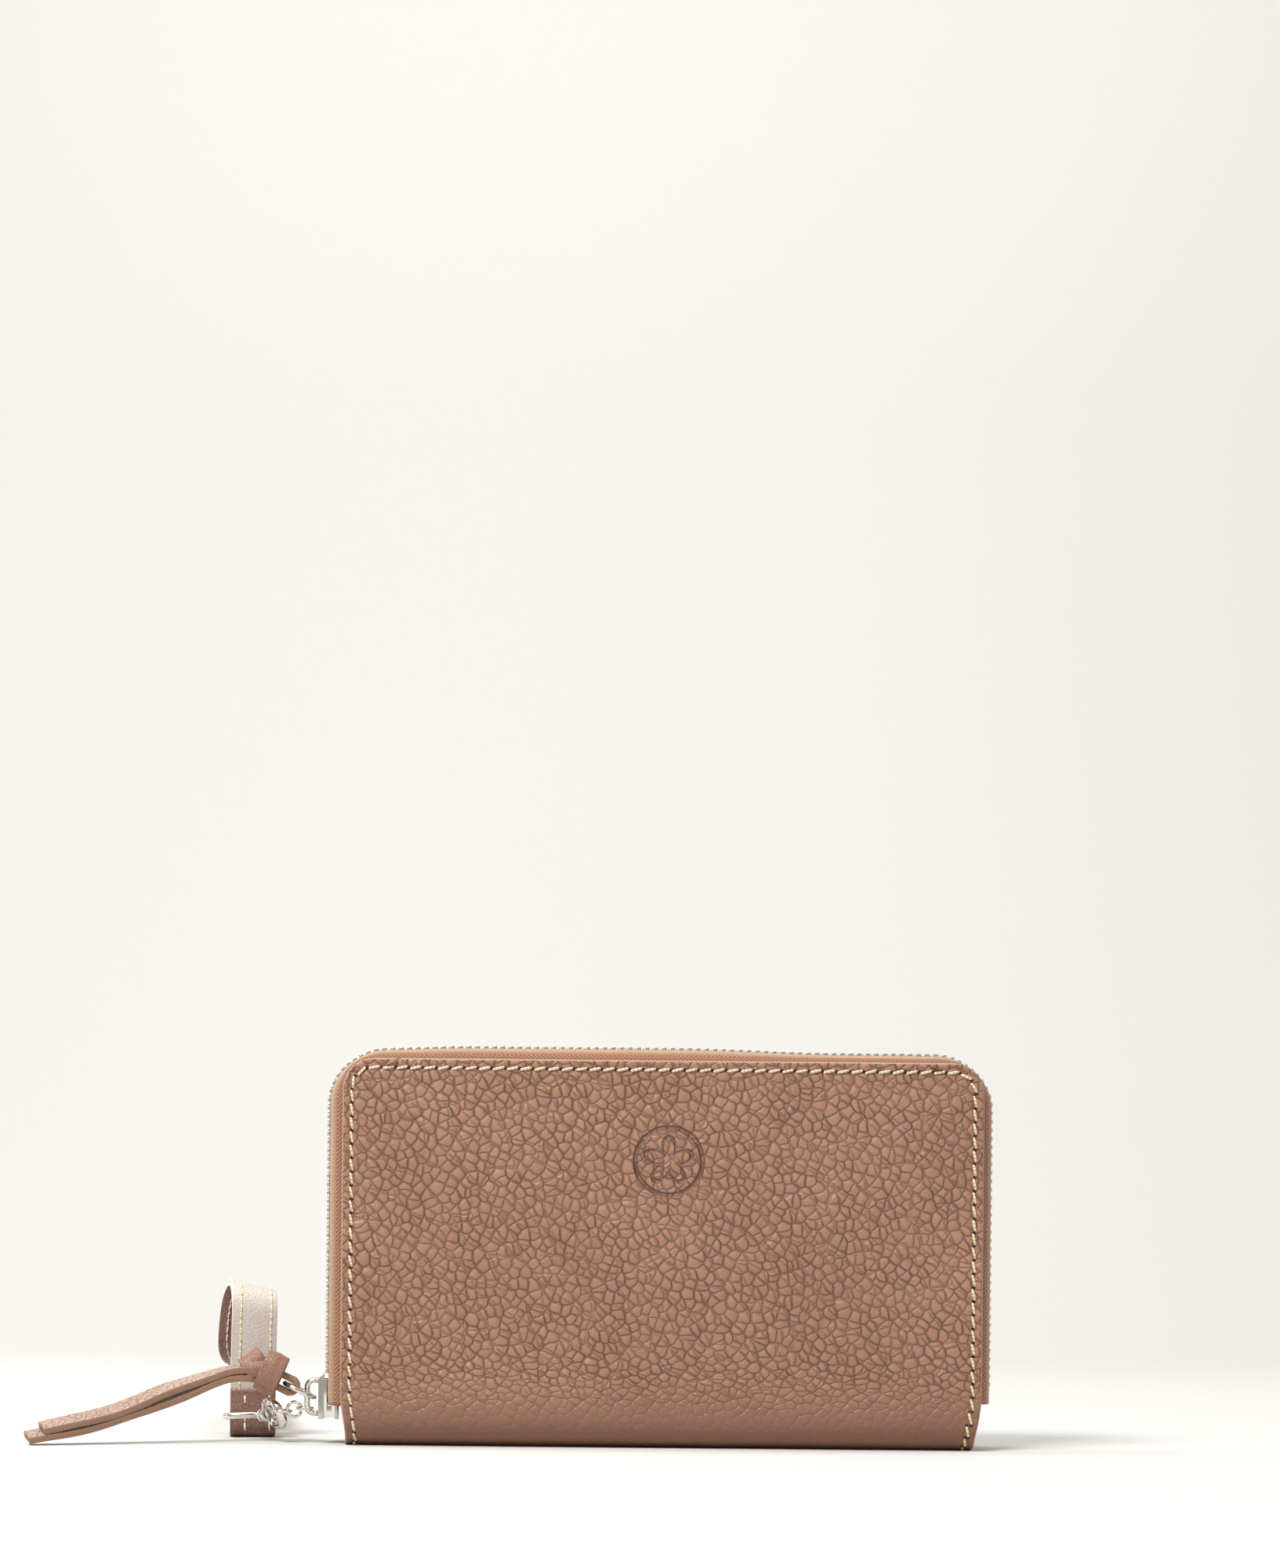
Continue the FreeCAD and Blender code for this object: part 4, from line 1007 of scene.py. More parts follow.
# %% Slider and rings
slider = eased_copy("slider_body", "zip_slider", nickel, 0.35 * MM, 3)
place(slider, "zip_slider", "zip_slider", slot="nickel")
arch_low, arch_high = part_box("slider_arch")
WIRE_ARCH = 0.75 * MM
arch_x, foot_x = arch_low.x + WIRE_ARCH, arch_high.x
z_low, z_high = arch_low.z + WIRE_ARCH, arch_high.z - WIRE_ARCH
arch_path = [(foot_x + 0.3 * MM, z_low)]
for t in np.linspace(0, math.pi / 2, 9):
    arch_path.append((arch_x + 1.9 * MM - math.sin(t) * 1.9 * MM, z_low + 1.9 * MM - math.cos(t) * 1.9 * MM))
for t in np.linspace(0, math.pi / 2, 9):
    arch_path.append((arch_x + 1.9 * MM - math.cos(t) * 1.9 * MM, z_high - 1.9 * MM + math.sin(t) * 1.9 * MM))
arch_path.append((foot_x + 0.3 * MM, z_high))
arch_path = [(x, 0.0, z) for x, z in arch_path]
arch = sweep("slider_arch_wire", circle(WIRE_ARCH, 16) * [1.35, 1.0], arch_path, (0, 1, 0), [nickel])
place(arch, "zip_slider", "slider_arch", slot="nickel")


def jump_ring(name, node, normal, wire, body, cut=0.6):
    """A ring of round wire where the CAD ring is, cut once at an angle."""
    low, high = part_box(node)
    centre = (low + high) / 2
    normal = Vector(normal).normalized()
    u = normal.orthogonal().normalized()
    v = normal.cross(u)
    extent = max((high - low)[i] for i in range(3))
    radius = extent / 2 - wire
    gap = 0.10 * MM / radius
    turn = np.linspace(cut + gap, cut + 2 * math.pi - gap, 72)
    path = [centre + (u * math.cos(t) + v * math.sin(t)) * radius for t in turn]
    ring = sweep(name, circle(wire, 16), path, normal, [nickel])
    return place(ring, body, node, slot="nickel")


pull_joint = joints["pull_swing"]
ring_low, ring_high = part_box("pull_ring")
ring_centre = (ring_low + ring_high) / 2
to_pull = (Vector(pull_joint["pos_m"]) - ring_centre).normalized()
ring_normal = to_pull.cross(Vector((0, 1, 0)))
jump_ring("pull_jump_ring", "pull_ring", ring_normal, 0.65 * MM, "pull_ring", cut=2.0)
link_2_normal = Vector(joints["link_2_swing"]["axis"])
for number in (1, 2, 3):
    node = "chain_link_%d" % number
    normal = (0, 0, 1) if number != 2 else link_2_normal
    jump_ring("link_wire_%d" % number, node, normal, 0.45 * MM, node, cut=1.1 * number)

# %% [markdown]
# ## Snap hook
#
# A lobster-claw hook is cast in one piece with its collar, and thickens towards the bow. A sprung gate closes
# its mouth, and a swivelling eye, held by a rivet head inside the collar, carries the strap. The bow is
# drawn as a sweep whose wire swells, which a plain bent wire wouldn't show.

# %% The hook, its gate and the eye
tip = Vector(joints["hook_swing"]["pos_m"])
to_eye = Vector(joints["eye_swivel"]["axis"]).normalized()
eye_side = Vector(joints["hook_swing"]["axis"]).normalized()
hook_n = Vector(joints["gate_hinge"]["axis"]).normalized()
hook_b = hook_n.cross(to_eye).normalized()
bar_centre = Vector(joints["strap_swing"]["pos_m"])
HOOK_R, HOOK_WIRE, HOOK_LENGTH = 3.4 * MM, 0.9 * MM, 12.4 * MM
TURNED_STEPS = 28
GATE_FROM = 2.7 * MM


def in_hook(a, b, n=0.0):
    return tip + to_eye * a + hook_b * b + hook_n * n


back_a = HOOK_LENGTH - HOOK_R
first = math.acos((HOOK_R - GATE_FROM) / HOOK_R)
line = [(HOOK_R - HOOK_R * math.cos(t), HOOK_R * math.sin(t)) for t in np.linspace(first, -math.pi / 2, 20)]
line += [(a, -HOOK_R) for a in np.linspace(HOOK_R, back_a, 8)[1:]]
line += [(back_a + HOOK_R * math.sin(t), -HOOK_R * math.cos(t)) for t in np.linspace(0, math.pi, 24)[1:]]
swell = [0.78 + 0.52 * math.sin(math.pi * min(1.0, (i + 3) / (len(line) * 0.62))) for i in range(len(line))]
swell = [max(0.82, w) if i > 24 else w for i, w in enumerate(swell)]
bow = sweep(
    "hook_bow",
    circle(HOOK_WIRE, 18) * [1.15, 1.0],
    [in_hook(a, b) for a, b in line],
    hook_n,
    [nickel],
    size=swell,
)
turned = []
for name, shape in (
    (
        "collar",
        [
            (0.0, 0.9),
            (-0.9, 1.2),
            (-0.9, 1.75),
            (-0.4, 2.05),
            (1.4, 2.1),
            (2.2, 1.9),
            (2.6, 1.5),
            (2.6, 0.98),
        ],
    ),
    (
        "pin",
        [
            (2.4, 0.0),
            (2.4, 0.88),
            (3.0, 0.88),
            (3.3, 1.45),
            (4.0, 1.88),
            (4.8, 1.95),
            (5.6, 1.7),
            (6.2, 1.0),
            (6.2, 0.0),
        ],
    ),
):
    path = [tip + to_eye * (HOOK_LENGTH + a * MM) for a, r in shape]
    turn = np.linspace(0, 2 * math.pi, TURNED_STEPS, endpoint=False)
    spokes = [eye_side * math.cos(t) + to_eye.cross(eye_side) * math.sin(t) for t in turn]
    points = [p + spoke * r * MM for p, (a, r) in zip(path, shape) for spoke in spokes]
    k = TURNED_STEPS
    faces = []
    for i in range(len(shape) - 1):
        for j in range(k):
            a, b = i * k + j, i * k + (j + 1) % k
            faces.append((a, b, b + k, a + k))
    turned.append(object_from(name, points, faces, [nickel]))
collar, pin = turned
hook = joined("hook_casting", [bow, collar])
place(hook, "snap_hook", "hook_body", slot="nickel")
rivet = eased_copy("hook_rivet", "hook_pin", nickel, 0.15 * MM)
place(rivet, "snap_hook", "hook_pin", slot="nickel")
gate = eased_copy("hook_gate_lever", "hook_gate", nickel, 0.25 * MM, 3)
place(gate, "hook_gate", "hook_gate", slot="nickel")

near, full = HOOK_LENGTH + 6.0 * MM, (bar_centre - tip).length
EYE_HALF, EYE_WIRE = 8.6 * MM, 0.95 * MM
corners = [
    (near, 0.0),
    (near, 3.4),
    (near + 2.3 * MM, EYE_HALF / MM - 0.3),
    (full - 2.5 * MM, EYE_HALF / MM),
    (full - 0.1 * MM, EYE_HALF / MM - 0.8),
]
half_eye = [(a, b * MM) for a, b in corners] + [(full, EYE_HALF - 2.4 * MM), (full, 0.0)]
loop = [tip + to_eye * a + eye_side * b for a, b in half_eye]
loop += [tip + to_eye * a - eye_side * b for a, b in half_eye[::-1][1:-1]]
loop = spline(loop + [loop[0]], 120)[:-1]
eye_wire = sweep("eye_wire", circle(EYE_WIRE, 16), loop, to_eye.cross(eye_side), [nickel], closed=True)
place(joined("swivel_eye_wire", [eye_wire, pin]), "swivel_eye", "swivel_eye", slot="nickel")

# %% [markdown]
# ## The knotted pull
#
# A strip of hide, 7 mm wide and 1.8 mm thick, is doubled through the ring and tied on itself. Its grain faces
# out on the top tail, and its cut edges show tan. The knot is drawn as the strip really lies: one turn
# wrapped round the tails, and one fold that comes up from under it. A knot simulated in cloth would take far
# longer and rarely settles this neatly.

# %% Ring loop, tails and knot
knot_low, knot_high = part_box("pull_knot")
knot = (knot_low + knot_high) / 2
LACE_T, LACE_HALF = 1.75 * MM, 3.5 * MM
lace = strip_outline(LACE_HALF, -LACE_T / 2, LACE_T / 2, 0.22 * MM)
lace_mats = [lace_leather_painted_light, cut_edge]
knot_mats = [knot_leather, cut_edge]

far_wire = Vector(pull_joint["pos_m"])
loop_out = to_pull
loop_up = ring_normal if ring_normal.z > 0 else -ring_normal
r_mid = 1.86 * MM
loop_path = [far_wire + loop_out * 9.0 * MM + loop_up * r_mid * 0.55]
loop_path += [far_wire + loop_out * 4.0 * MM + loop_up * r_mid * 0.9]
for t in np.linspace(0, math.pi, 15):
    loop_path.append(far_wire - loop_out * (1.6 * MM + math.sin(t) * r_mid) + loop_up * math.cos(t) * r_mid)
loop_path += [far_wire + loop_out * 4.0 * MM - loop_up * r_mid * 0.9]
loop_path += [far_wire + loop_out * 9.0 * MM - loop_up * r_mid * 0.55]
ring_loop = sweep(
    "lace_loop",
    strip_outline(2.6 * MM, -0.82 * MM, 0.82 * MM, 0.3 * MM),
    spline(loop_path, 80),
    (0, 1, 0),
    knot_mats,
    edge_slots=STRIP_SLOTS,
)
place(ring_loop, "leather_pull", "pull_loop", slot="pebbled_leather")

# distance from the knot's middle, height and roll; the tails lie towards the front
TAIL_YAW = math.radians(20)
TAIL = ((-3.0, 18.4, 0), (4.0, 18.4, 4), (10.1, 17.0, 9), (20.2, 13.6, 13), (29.8, 10.0, 15))
TAIL += ((40.4, 6.8, 15), (50.0, 4.5, 14), (60.0, 2.8, 13))
tail_root = Vector((-112.0 * MM, 0, 0))
tail_dir = Vector((-math.cos(TAIL_YAW), -math.sin(TAIL_YAW), 0))


def tail(name, offset, end_back, node, part_more):
    path = spline(
        [tail_root + tail_dir * (reach * MM) + Vector((0, 0, z * MM)) for reach, z, roll in TAIL], 96
    )
    s = np.concatenate([[0], np.cumsum(np.linalg.norm(np.diff(path, axis=0), axis=1))])
    keep = s <= s[-1] - end_back
    path, s = path[keep], s[keep]
    across = np.array((-tail_dir.y, tail_dir.x, 0.0))
    roll = np.radians(np.interp(s, np.linspace(0, s[-1], len(TAIL)), [t[2] for t in TAIL]))
    side = across * -np.cos(roll)[:, None] + np.array((0, 0, 1.0)) * np.sin(roll)[:, None]
    side *= np.sign(side[:, 1:2])
    up = np.cross(side, tangents(path, False))
    up *= np.sign(up[:, 2:3])
    # the two tails part a little just after the knot, and lie together again further on
    part = offset * (1.0 + part_more * np.exp(-(((s / MM - 24) / 10) ** 2)))
    path = path + up * part[:, None]
    # a soft strip is never quite flat: it ripples a little along its length
    path = path + up * (0.18 * MM * np.sin(s / MM / 4.1 + offset * 900))[:, None]
    made = sweep(name, lace, path, side, lace_mats, edge_slots=STRIP_SLOTS, start=abs(offset) * 40)
    return place(made, "leather_pull", node, slot="pebbled_leather")


tail("lace_tail_upper", 1.02 * MM, 3.9 * MM, "pull_tail_upper", 0.25)
tail("lace_tail_lower", -1.02 * MM, 0.0, "pull_tail_lower", 0.35)


def cupped(half_w, thick, cup, round_r):
    """A strip's section whose two edges curl down, as leather does when it is pulled tight round a curve."""
    made = []
    for x, z in dense(strip_outline(half_w, -thick / 2, thick / 2, round_r)):
        ripple = 0.24 * cup * math.cos(5.2 * x / half_w + 0.6)
        made.append((x, z - cup * (x / half_w) ** 2 + ripple))
    return made


def dense(outline):
    """The same outline with extra points along its two long sides, so that they can bend."""
    made = []
    for (x0, z0), (x1, z1) in zip(outline, outline[1:] + outline[:1]):
        steps = 8 if abs(x1 - x0) > 1 * MM else 1
        made += [(x0 + (x1 - x0) * t / steps, z0 + (z1 - z0) * t / steps) for t in range(steps)]
    return made


def cut_slots(outline, half_w):
    """1 where a section's edge is one of the strip's cut sides, and 0 on its two faces."""
    ends = zip(outline, outline[1:] + outline[:1])
    return [1 if min(abs(a[0]), abs(b[0])) > half_w - 0.16 * MM else 0 for a, b in ends]


# one turn of lace, wrapped round everything and leaning so that its top is nearer the ring
turn_section = cupped(3.0 * MM, LACE_T, 0.3 * MM, 0.2 * MM)
turn_middle = knot + Vector((3.0 * MM, 0, -0.6 * MM))
wrap_path = []
for t in np.linspace(0, 2 * math.pi, 72, endpoint=False):
    c, s = math.cos(t), math.sin(t)
    y = 4.8 * MM * math.copysign(abs(c) ** 0.7, c)
    z = 4.6 * MM * math.copysign(abs(s) ** 0.75, s)
    wrap_path.append(turn_middle + Vector((z * 0.45, y, z)))
wrap = sweep(
    "lace_knot_turn",
    turn_section,
    wrap_path,
    (1, 0, -0.45),
    knot_mats,
    closed=True,
    edge_slots=cut_slots(turn_section, 3.0 * MM),
)
# the fold that rises to the left from under the turn, and doubles back behind it
fold_dir = Vector((-0.60, 0.0, 0.80))
fold_side = (0.80, 0.12, 0.60)
fold_at = knot + Vector((-1.0 * MM, -1.2 * MM, 1.2 * MM))
fold_steps = (
    (-5.0, 0.9),
    (-2.0, 0.0),
    (0.6, -0.2),
    (2.0, 0.1),
    (3.0, 0.8),
    (3.3, 1.9),
    (2.6, 2.9),
    (0.5, 3.4),
    (-2.5, 3.5),
)
fold_path = [fold_at + fold_dir * (a * MM) + Vector((0, y * MM, 0)) for a, y in fold_steps]
fold_section = cupped(3.2 * MM, LACE_T, 0.2 * MM, 0.2 * MM)
fold = sweep(
    "lace_fold",
    fold_section,
    spline(fold_path, 64),
    fold_side,
    knot_mats,
    edge_slots=cut_slots(fold_section, 3.2 * MM),
)
core = [knot + Vector((t, 0.3 * MM, 0.0)) for t in np.linspace(-4.6 * MM, 5.4 * MM, 12)]
core_size = [0.72, 0.9, 1.0, 1.0, 1.0, 1.0, 1.0, 1.0, 0.98, 0.92, 0.82, 0.66]
core = sweep(
    "lace_core",
    strip_outline(3.6 * MM, -3.1 * MM, 3.1 * MM, 2.4 * MM),
    core,
    (0, 1, 0),
    knot_mats,
    size=core_size,
)
place(joined("lace_knot", [wrap, fold, core]), "leather_pull", "pull_knot", slot="pebbled_leather")

# %% [markdown]
# ## The wrist strap
#
# Two layers of thin leather are glued back to back, sewn along both edges and painted there. The outer
# layer is painted pale: a painted highlight for the glare on its face, the leather itself being taupe like
# the inner layer. The ends stand in a folded tab round the eye's bar. The strap stands up in a bend and
# trails away behind, so it is drawn as a ribbon whose width turns a little as it goes, as a real one twists.

# %% Strap and tab
STRAP_HALF, LAYER = 6.35 * MM, 1.1 * MM
yaw = math.radians(4)
strap_u = Vector((math.cos(yaw), math.sin(yaw), 0))
strap_v = Vector((-math.sin(yaw), math.cos(yaw), 0))
base = Vector((bar_centre.x, bar_centre.y, 0))
ROUTE = [
    # behind the bar, height, shift to the left, lean of the width (left side up)
    (-1.2, 7.6, 0.0, 0.0),
    (-1.25, 16.0, 0.0, 0.02),
    (-1.5, 30.0, -0.2, 0.10),
    (-1.0, 37.5, -0.3, 0.20),
    (2.2, 41.3, 0.2, 0.26),
    (7.0, 41.2, 1.2, 0.24),
    (10.4, 37.5, 2.6, 0.16),
    (11.9, 31.5, 3.4, 0.08),
    (14.0, 25.6, 3.6, 0.02),
    (20.0, 21.8, 2.4, 0.0),
    (34.0, 19.8, 0.6, 0.0),
    (56.0, 18.3, 0.0, 0.0),
    (78.0, 16.6, 0.0, 0.0),
    (89.0, 14.6, 0.0, 0.0),
    (94.6, 9.6, 0.0, 0.0),
    (92.5, 3.6, 0.0, 0.0),
    (84.0, 1.35, 0.0, 0.0),
    (56.0, 1.25, 0.0, 0.0),
    (26.0, 1.25, 0.0, 0.0),
    (17.0, 3.2, 0.0, 0.0),
    (12.2, 9.5, 0.0, 0.0),
    (9.0, 17.0, 0.0, 0.0),
    (5.2, 20.4, 0.0, 0.0),
    (1.9, 17.6, 0.0, 0.0),
    (1.2, 12.5, 0.0, 0.0),
    (1.2, 7.6, 0.0, 0.0),
]
route = np.array(ROUTE)
points = [
    base + strap_v * v * MM + Vector((0, 0, z * MM)) - strap_u * left * MM for v, z, left, lean in ROUTE
]
STATIONS = 420
strap_path = spline(points, STATIONS)
through = np.concatenate([[0], np.cumsum(np.linalg.norm(np.diff(np.array(points), axis=0), axis=1))])
lean = np.interp(np.linspace(0, through[-1], STATIONS), through, route[:, 3])
strap_side = np.array([tuple(strap_u - Vector((0, 0, 1)) * k) for k in lean])
for name, low, high, material, node in (
    ("strap_outer", 0.0, LAYER, strap_leather_painted_highlight, "strap_outer_leather"),
    ("strap_inner", -LAYER, 0.0, tab_leather, "strap_inner_leather"),
):
    outline = strip_outline(STRAP_HALF, -high, -low, 0.28 * MM)
    layer = sweep(name, outline, strap_path, strap_side, [material, strap_edge_paint], edge_slots=STRIP_SLOTS)
    place(layer, "wrist_strap", node, slot="pale_leather" if "outer" in name else "smooth_leather")
length = float(np.linalg.norm(np.diff(strap_path, axis=0), axis=1).sum())
print("strap length in mm:", round(length / MM))


# %% Stitches along the strap
strap_along = tangents(strap_path, False)
side_dir = unit(strap_side - strap_along * (strap_side * strap_along).sum(1, keepdims=True))
strap_up = -np.cross(strap_along, side_dir)
walked = np.concatenate([[0], np.cumsum(np.linalg.norm(np.diff(strap_path, axis=0), axis=1))])


def strap_point(x, s, lift, face):
    """A point on the strap's outer (face 1) or inner (face -1) side."""
    def at(values):
        return Vector([float(np.interp(s, walked, values[:, c])) for c in range(3)])

    normal = at(strap_up).normalized() * face
    return at(strap_path) + at(side_dir) * x + normal * (LAYER - 0.03 * MM + lift), normal


STRAP_PITCH = 2.1 * MM
for face, name in ((1, "outer"), (-1, "inner")):
    places = []
    for x in (-STRAP_HALF + 2.6 * MM, STRAP_HALF - 1.7 * MM):
        for n in range(int(length / STRAP_PITCH)):
            places.append((x, (n + 0.5) * STRAP_PITCH, (0.0, 1.0)))
    pieces = sew(
        "strap_stitching_" + name,
        places,
        lambda x, s, lift, face=face: strap_point(x, s, lift, face),
        strap_thread,
        STRAP_PITCH * 0.86,
        0.24 * MM,
        tilt=0.12,
        holes=False,
    )
    for piece in pieces:
        place(piece, "wrist_strap", slot="pale_leather")

tab_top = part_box("strap_tab")[1].z
TAB_SIDE, TAB_T = 3.75 * MM, 1.6 * MM
tab_path = []
for z in np.linspace(tab_top, 4.0 * MM, 12):
    tab_path.append(
        base - strap_v * TAB_SIDE * (0.78 + 0.22 * smooth(13 * MM, 5 * MM, z)) + Vector((0, 0, z))
    )
for t in np.linspace(0, math.pi, 17)[1:-1]:
    tab_path.append(
        base - strap_v * TAB_SIDE * math.cos(t) + Vector((0, 0, 4.0 * MM - 3.15 * MM * math.sin(t)))
    )
for z in np.linspace(4.0 * MM, tab_top, 12):
    tab_path.append(
        base + strap_v * TAB_SIDE * (0.78 + 0.22 * smooth(13 * MM, 5 * MM, z)) + Vector((0, 0, z))
    )
tab = sweep(
    "strap_tab_fold",
    strip_outline(STRAP_HALF, -TAB_T / 2, TAB_T / 2, 0.35 * MM),
    tab_path,
    tuple(strap_u),
    [tab_leather, cut_edge],
    edge_slots=STRIP_SLOTS,
)
place(tab, "wrist_strap", "strap_tab", slot="smooth_leather")


def tab_point(x, s, lift):
    """A point on the tab's front face, at x across and s up."""
    out = TAB_SIDE * (0.78 + 0.22 * smooth(13 * MM, 5 * MM, s)) + TAB_T / 2 + lift
    return base - strap_v * out + strap_u * x + Vector((0, 0, s)), -strap_v


places = [(x, z, (0.0, 1.0)) for x in (-2.2 * MM, 4.6 * MM) for z in (3.0 * MM, 5.4 * MM, 10.6 * MM)]
for piece in sew("tab_stitching", places, tab_point, strap_thread, 2.0 * MM, 0.26 * MM, holes=False):
    place(piece, "wrist_strap", slot="smooth_leather")

# %% [markdown]
# ## Inside
#
# With the zip open, the covers part to show a twill lining, a slip pocket on the front, stepped card slots
# on the back, and a zipped coin pocket standing between them. Pleated side walls of thin leather join each
# cover to the coin pocket. Each slot's leather has a turned edge, creased and sewn.

# %% Lining, pockets and card slots
for node, material in (
    ("front_cover_board", fibre_board),
    ("back_cover_board", fibre_board),
    ("coin_pocket_seam", lining_twill),
    ("coin_pocket_back", lining_twill),
    ("coin_pocket_front", lining_twill),
    ("coin_pocket_top_band", slot_leather),
    ("front_cover_lining", lining_twill),
    ("back_cover_lining", lining_twill),
    ("spine_lining", lining_twill),
):
    mesh = frame["nodes"][node].data
    mesh.materials.clear()
    mesh.materials.append(material)


def panel(name, x0, x1, z0, z1, y, thick, toward, material, hem=True):
    """A leather panel in the XZ plane with eased edges, and a turned hem along its top."""
    xs = np.concatenate([[x0], np.linspace(x0 + 0.6 * MM, x1 - 0.6 * MM, 60), [x1]])
    zs = np.concatenate(
        [[z0], np.linspace(z0 + 0.6 * MM, z1 - 6 * MM, 24), np.linspace(z1 - 5.6 * MM, z1, 16)]
    )
    grid, grain = [], []
    for z in zs:
        for x in xs:
            d = min(x - x0, x1 - x, z - z0, z1 - z)
            rise = -0.18 * MM * (1 - smooth(0, 0.8 * MM, d))
            crease = -0.16 * MM * math.exp(-(((z1 - z - 3.4 * MM) / (0.35 * MM)) ** 2)) if hem else 0.0
            wave = 0.10 * MM * noise.noise(Vector((x / (30 * MM), z / (22 * MM), y / MM)))
            grid.append((x, y + toward * (rise + crease + wave * smooth(0, 12 * MM, d)), z))
            grain.append((x, z, 3 * MM))
    shape = (len(zs), len(xs), 3)
    made = surface(
        name, np.array(grid).reshape(shape), np.array(grain).reshape(shape), [material, cut_edge], toward > 0
    )
    solid = made.modifiers.new("thickness", "SOLIDIFY")
    solid.thickness = thick
    solid.offset = -1.0
    solid.material_offset_rim = 1
    return settle(made)


def hem_stitches(name, x0, x1, z, y, toward, body):
    places = [(x, z, (1.0, 0.0)) for x in np.arange(x0, x1, 3.0 * MM)]
    for piece in sew(
        name,
        places,
        lambda x, s, lift: (Vector((x, y + toward * lift, s)), Vector((0, toward, 0))),
        cover_thread,
        2.5 * MM,
        0.22 * MM,
        tilt=0.06,
        holes=False,
    ):
        place(piece, body, slot="smooth_leather")


inside = [("front_slip_pocket", "front_cover", 1)] + [
    ("card_slot_%d" % n, "back_cover", -1) for n in (1, 2, 3)
]
for node, body, toward in inside:
    low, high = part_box(node)
    y = high.y if toward > 0 else low.y
    wall = panel(node + "_leather", low.x, high.x, low.z, high.z, y, 0.75 * MM, toward, slot_leather)
    place(wall, body, node, slot="smooth_leather")
    hem_stitches(node + "_hem", low.x + 2 * MM, high.x - 2 * MM, high.z - 2.0 * MM, y, toward, body)

# %% Coin pocket zip
for node in ("coin_zip_tape_lower", "coin_zip_tape_upper"):
    low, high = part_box(node)
    tape = panel(
        node + "_weave", low.x, high.x, low.z, high.z, low.y, high.y - low.y, -1, coin_tape, hem=False
    )
    place(tape, "spine", node, slot="zip_tape")
coil_low, coil_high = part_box("coin_zip_coil")
coils = []
for way in (-1, 1):
    turns = 100
    t = np.linspace(0, turns * 2 * math.pi, turns * 10)
    x = coil_low.x + (coil_high.x - coil_low.x) * t / t[-1]
    mid = (coil_low + coil_high) / 2
    z = mid.z + way * (0.44 * MM + 0.30 * MM * np.cos(t))
    y = mid.y + 0.26 * MM * np.sin(t + (0 if way > 0 else math.pi))
    coils.append(sweep("coil", circle(0.15 * MM, 5), np.stack([x, y, z], 1), (0, 0, 1), [nylon_coil]))
place(joined("coin_coil", coils), "spine", "coin_zip_coil", slot="coil")
place(
    eased_copy("coin_slider_body", "coin_slider", nickel, 0.2 * MM),
    "coin_slider",
    "coin_slider",
    slot="nickel",
)
place(
    eased_copy("coin_pull", "coin_pull_tab", nickel, 0.2 * MM),
    "coin_pull_tab",
    "coin_pull_tab",
    slot="nickel",
)

# %% Pleated side walls
def gusset(node, x_side, side):
    """A thin wall with one pleat folded inwards, from the coin pocket's edge to the cover's lining."""
    low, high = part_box(node)
    near_y, far_y = 0.45 * MM, LINING_Y - 0.25 * MM
    x_in = min(abs(low.x), abs(high.x)) + 0.5 * MM
    rows, cols = 40, 29
    grid, grain = [], []
    for i in range(rows):
        h = i / (rows - 1)
        z = low.z + (high.z - low.z) * h
        reach = (2.0 + 3.6 * h) * MM
        for j in range(cols):
            t = j / (cols - 1)
            y = near_y + (far_y - near_y) * t
            fold = math.sin(math.pi * t) ** 0.8
            x = x_in + reach * (1 - 0.92 * fold) + 0.12 * MM * math.sin(9 * h + 3 * t)
            grid.append((x_side * x, side * y, z))
            grain.append((t * 12 * MM, z, 5 * MM))
    shape = (rows, cols, 3)
    made = surface(
        node + "_pleat",
        np.array(grid).reshape(shape),
        np.array(grain).reshape(shape),
        [slot_leather, cut_edge],
    )
    solid = made.modifiers.new("thickness", "SOLIDIFY")
    solid.thickness = 0.5 * MM
    solid.offset = 0.0
    solid.material_offset_rim = 1
    settle(made)
    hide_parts(node)
    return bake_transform(made)


for x_side, x_name in ((-1, "left"), (1, "right")):
    for side, name in ((-1, "front"), (1, "back")):
        gusset("gusset_%s_%s" % (x_name, name), x_side, side)

# %% [markdown]
# ## Floor, light and camera
#
# The wallet stands on white paper that sweeps up behind it. One large soft light above and in front does most
# of the work, with a weaker one at each side, so that the grain is modelled and no shadow is hard. The
# camera looks straight at the front cover, from the left and half way up, and its lens is shifted, as a
# product photographer's would be, so the edges stay parallel.

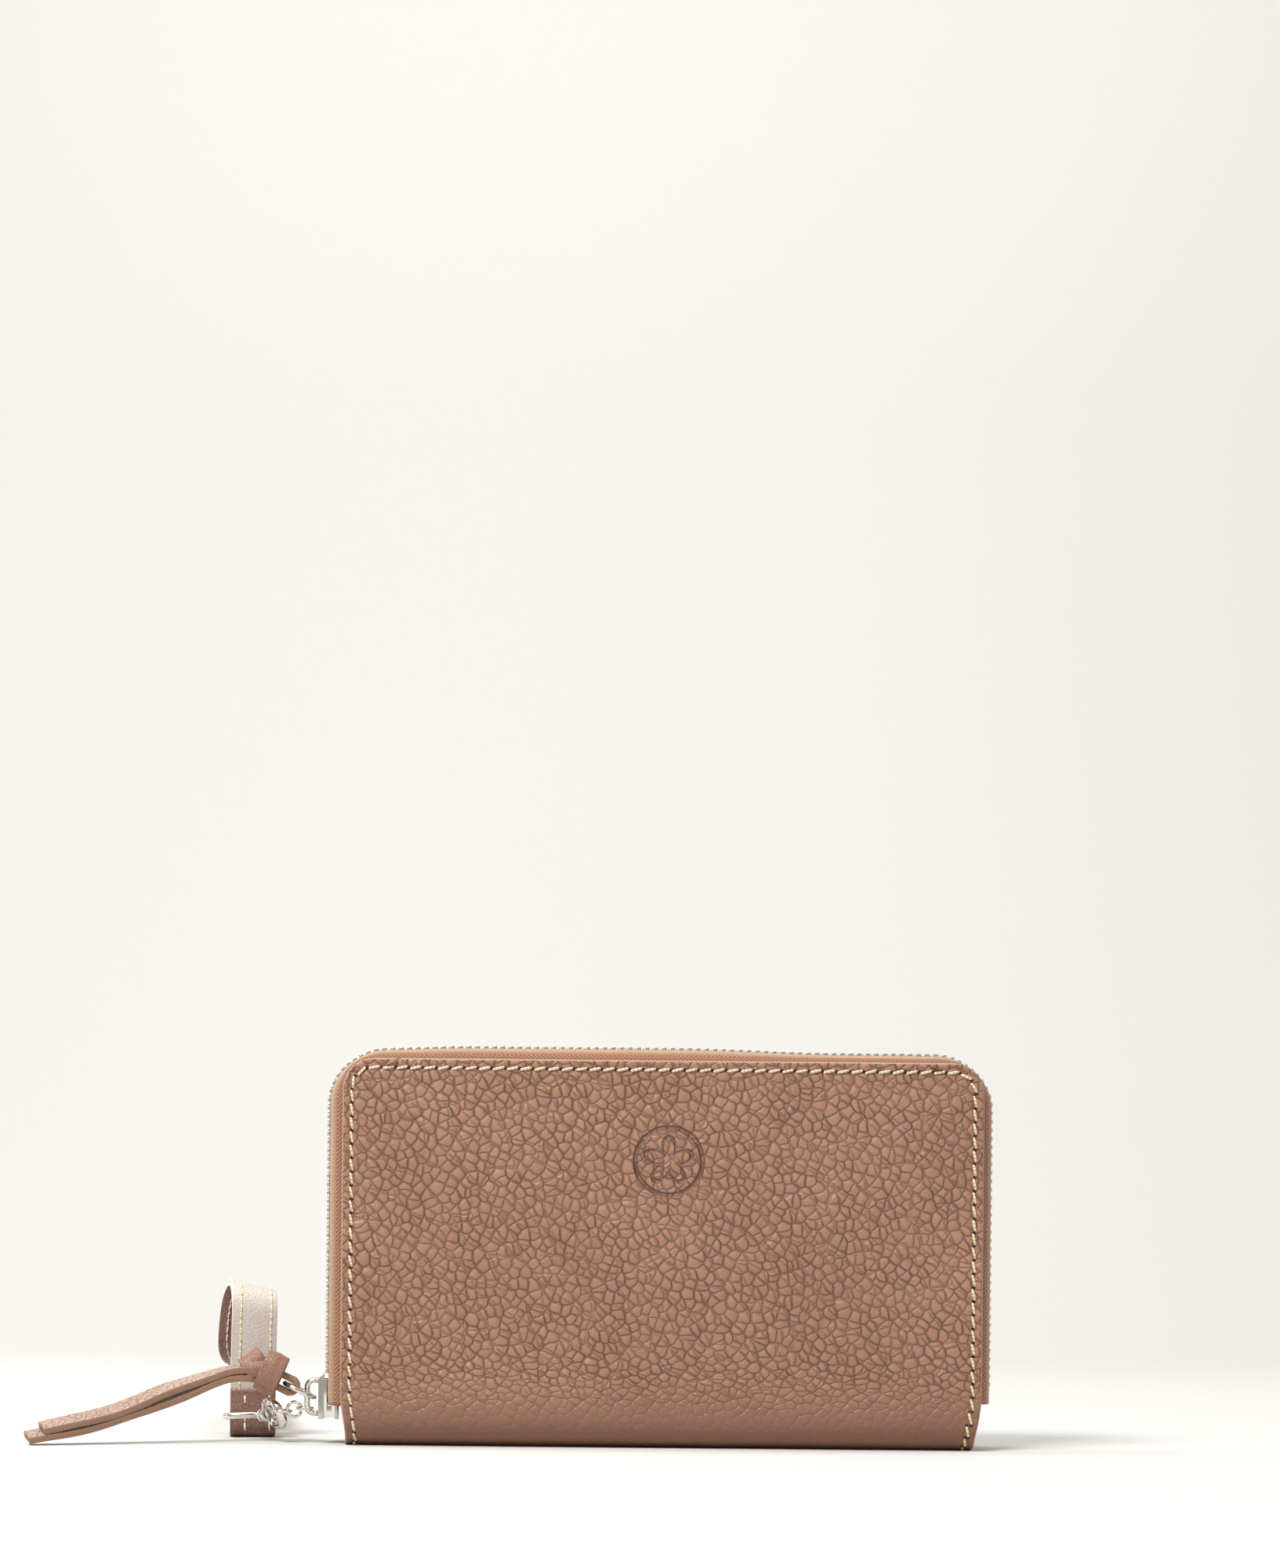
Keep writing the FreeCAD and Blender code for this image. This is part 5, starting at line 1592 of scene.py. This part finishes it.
# %% Paper sweep
paper = new_material("white_paper_sweep")
paper_place = add(paper, "ShaderNodeTexCoord")
paper_fibre = add(
    paper, "ShaderNodeTexNoise", {"Vector": (paper_place, "Object"), "Scale": 900.0, "Detail": 2.0}
)
paper_tone = add(
    paper,
    "ShaderNodeMix",
    {"Factor": (paper_fibre, 0), 6: linear("#D2D0CD"), 7: linear("#D6D4D1")},
    data_type="RGBA",
)
finish_material(paper, Base_Color=(paper_tone, 2), Roughness=0.9, Specular_IOR_Level=0.1)
sweep_line = [(-1.6, 0.0), (0.7, 0.0)]
sweep_line += [(0.7 + 0.8 * math.sin(t), 0.8 - 0.8 * math.cos(t)) for t in np.linspace(0.05, math.pi / 2, 24)]
sweep_line += [(1.5, 3.0)]
points = [(x, y, z) for x in (-3.0, 3.0) for y, z in sweep_line]
k = len(sweep_line)
floor = object_from("paper_sweep", points, [(i, i + k, i + k + 1, i + 1) for i in range(k - 1)], [paper])

# %% Lights
scene = bpy.context.scene
scene.view_settings.view_transform = "Standard"
world = bpy.data.worlds.new("studio")
scene.world = world
world.use_nodes = True
world.node_tree.nodes["Background"].inputs["Color"].default_value = linear("#FBF9F6")
world.node_tree.nodes["Background"].inputs["Strength"].default_value = 0.46


def soft_light(name, place_at, aim, size, power):
    data = bpy.data.lights.new(name, "AREA")
    data.shape = "RECTANGLE"
    data.size, data.size_y = size
    data.energy = power
    made = bpy.data.objects.new(name, data)
    made.location = place_at
    made.rotation_euler = (Vector(aim) - Vector(place_at)).to_track_quat("-Z", "Y").to_euler()
    scene.collection.objects.link(made)


middle = (0.0, 0.0, 0.05)
soft_light("key_softbox", (-0.45, -0.55, 1.05), middle, (0.4, 0.35), 14.5)
soft_light("backdrop_light", (0.0, 0.15, 1.6), (0.0, 1.45, 0.5), (2.4, 0.5), 25.0)
soft_light("right_fill", (1.1, -0.9, 0.5), middle, (0.8, 0.8), 1.0)
soft_light("left_rim", (-1.1, 0.25, 0.55), middle, (0.5, 0.9), 1.6)

# %% Camera
FOCAL_RATIO = 2.044          # focal length over the picture's width
camera_data = bpy.data.cameras.new("camera")
camera_data.sensor_fit = "HORIZONTAL"
camera_data.sensor_width = 36.0
camera_data.lens = 36.0 * FOCAL_RATIO
camera_data.shift_x = 0.1754
camera_data.shift_y = 0.3774
camera_data.clip_start = 0.01
camera = bpy.data.objects.new("camera", camera_data)
camera.location = (-0.066, -DEPTH - 0.700, 0.048)
camera.rotation_euler = (math.radians(90), math.radians(-0.55), 0.0)
scene.collection.objects.link(camera)
scene.camera = camera
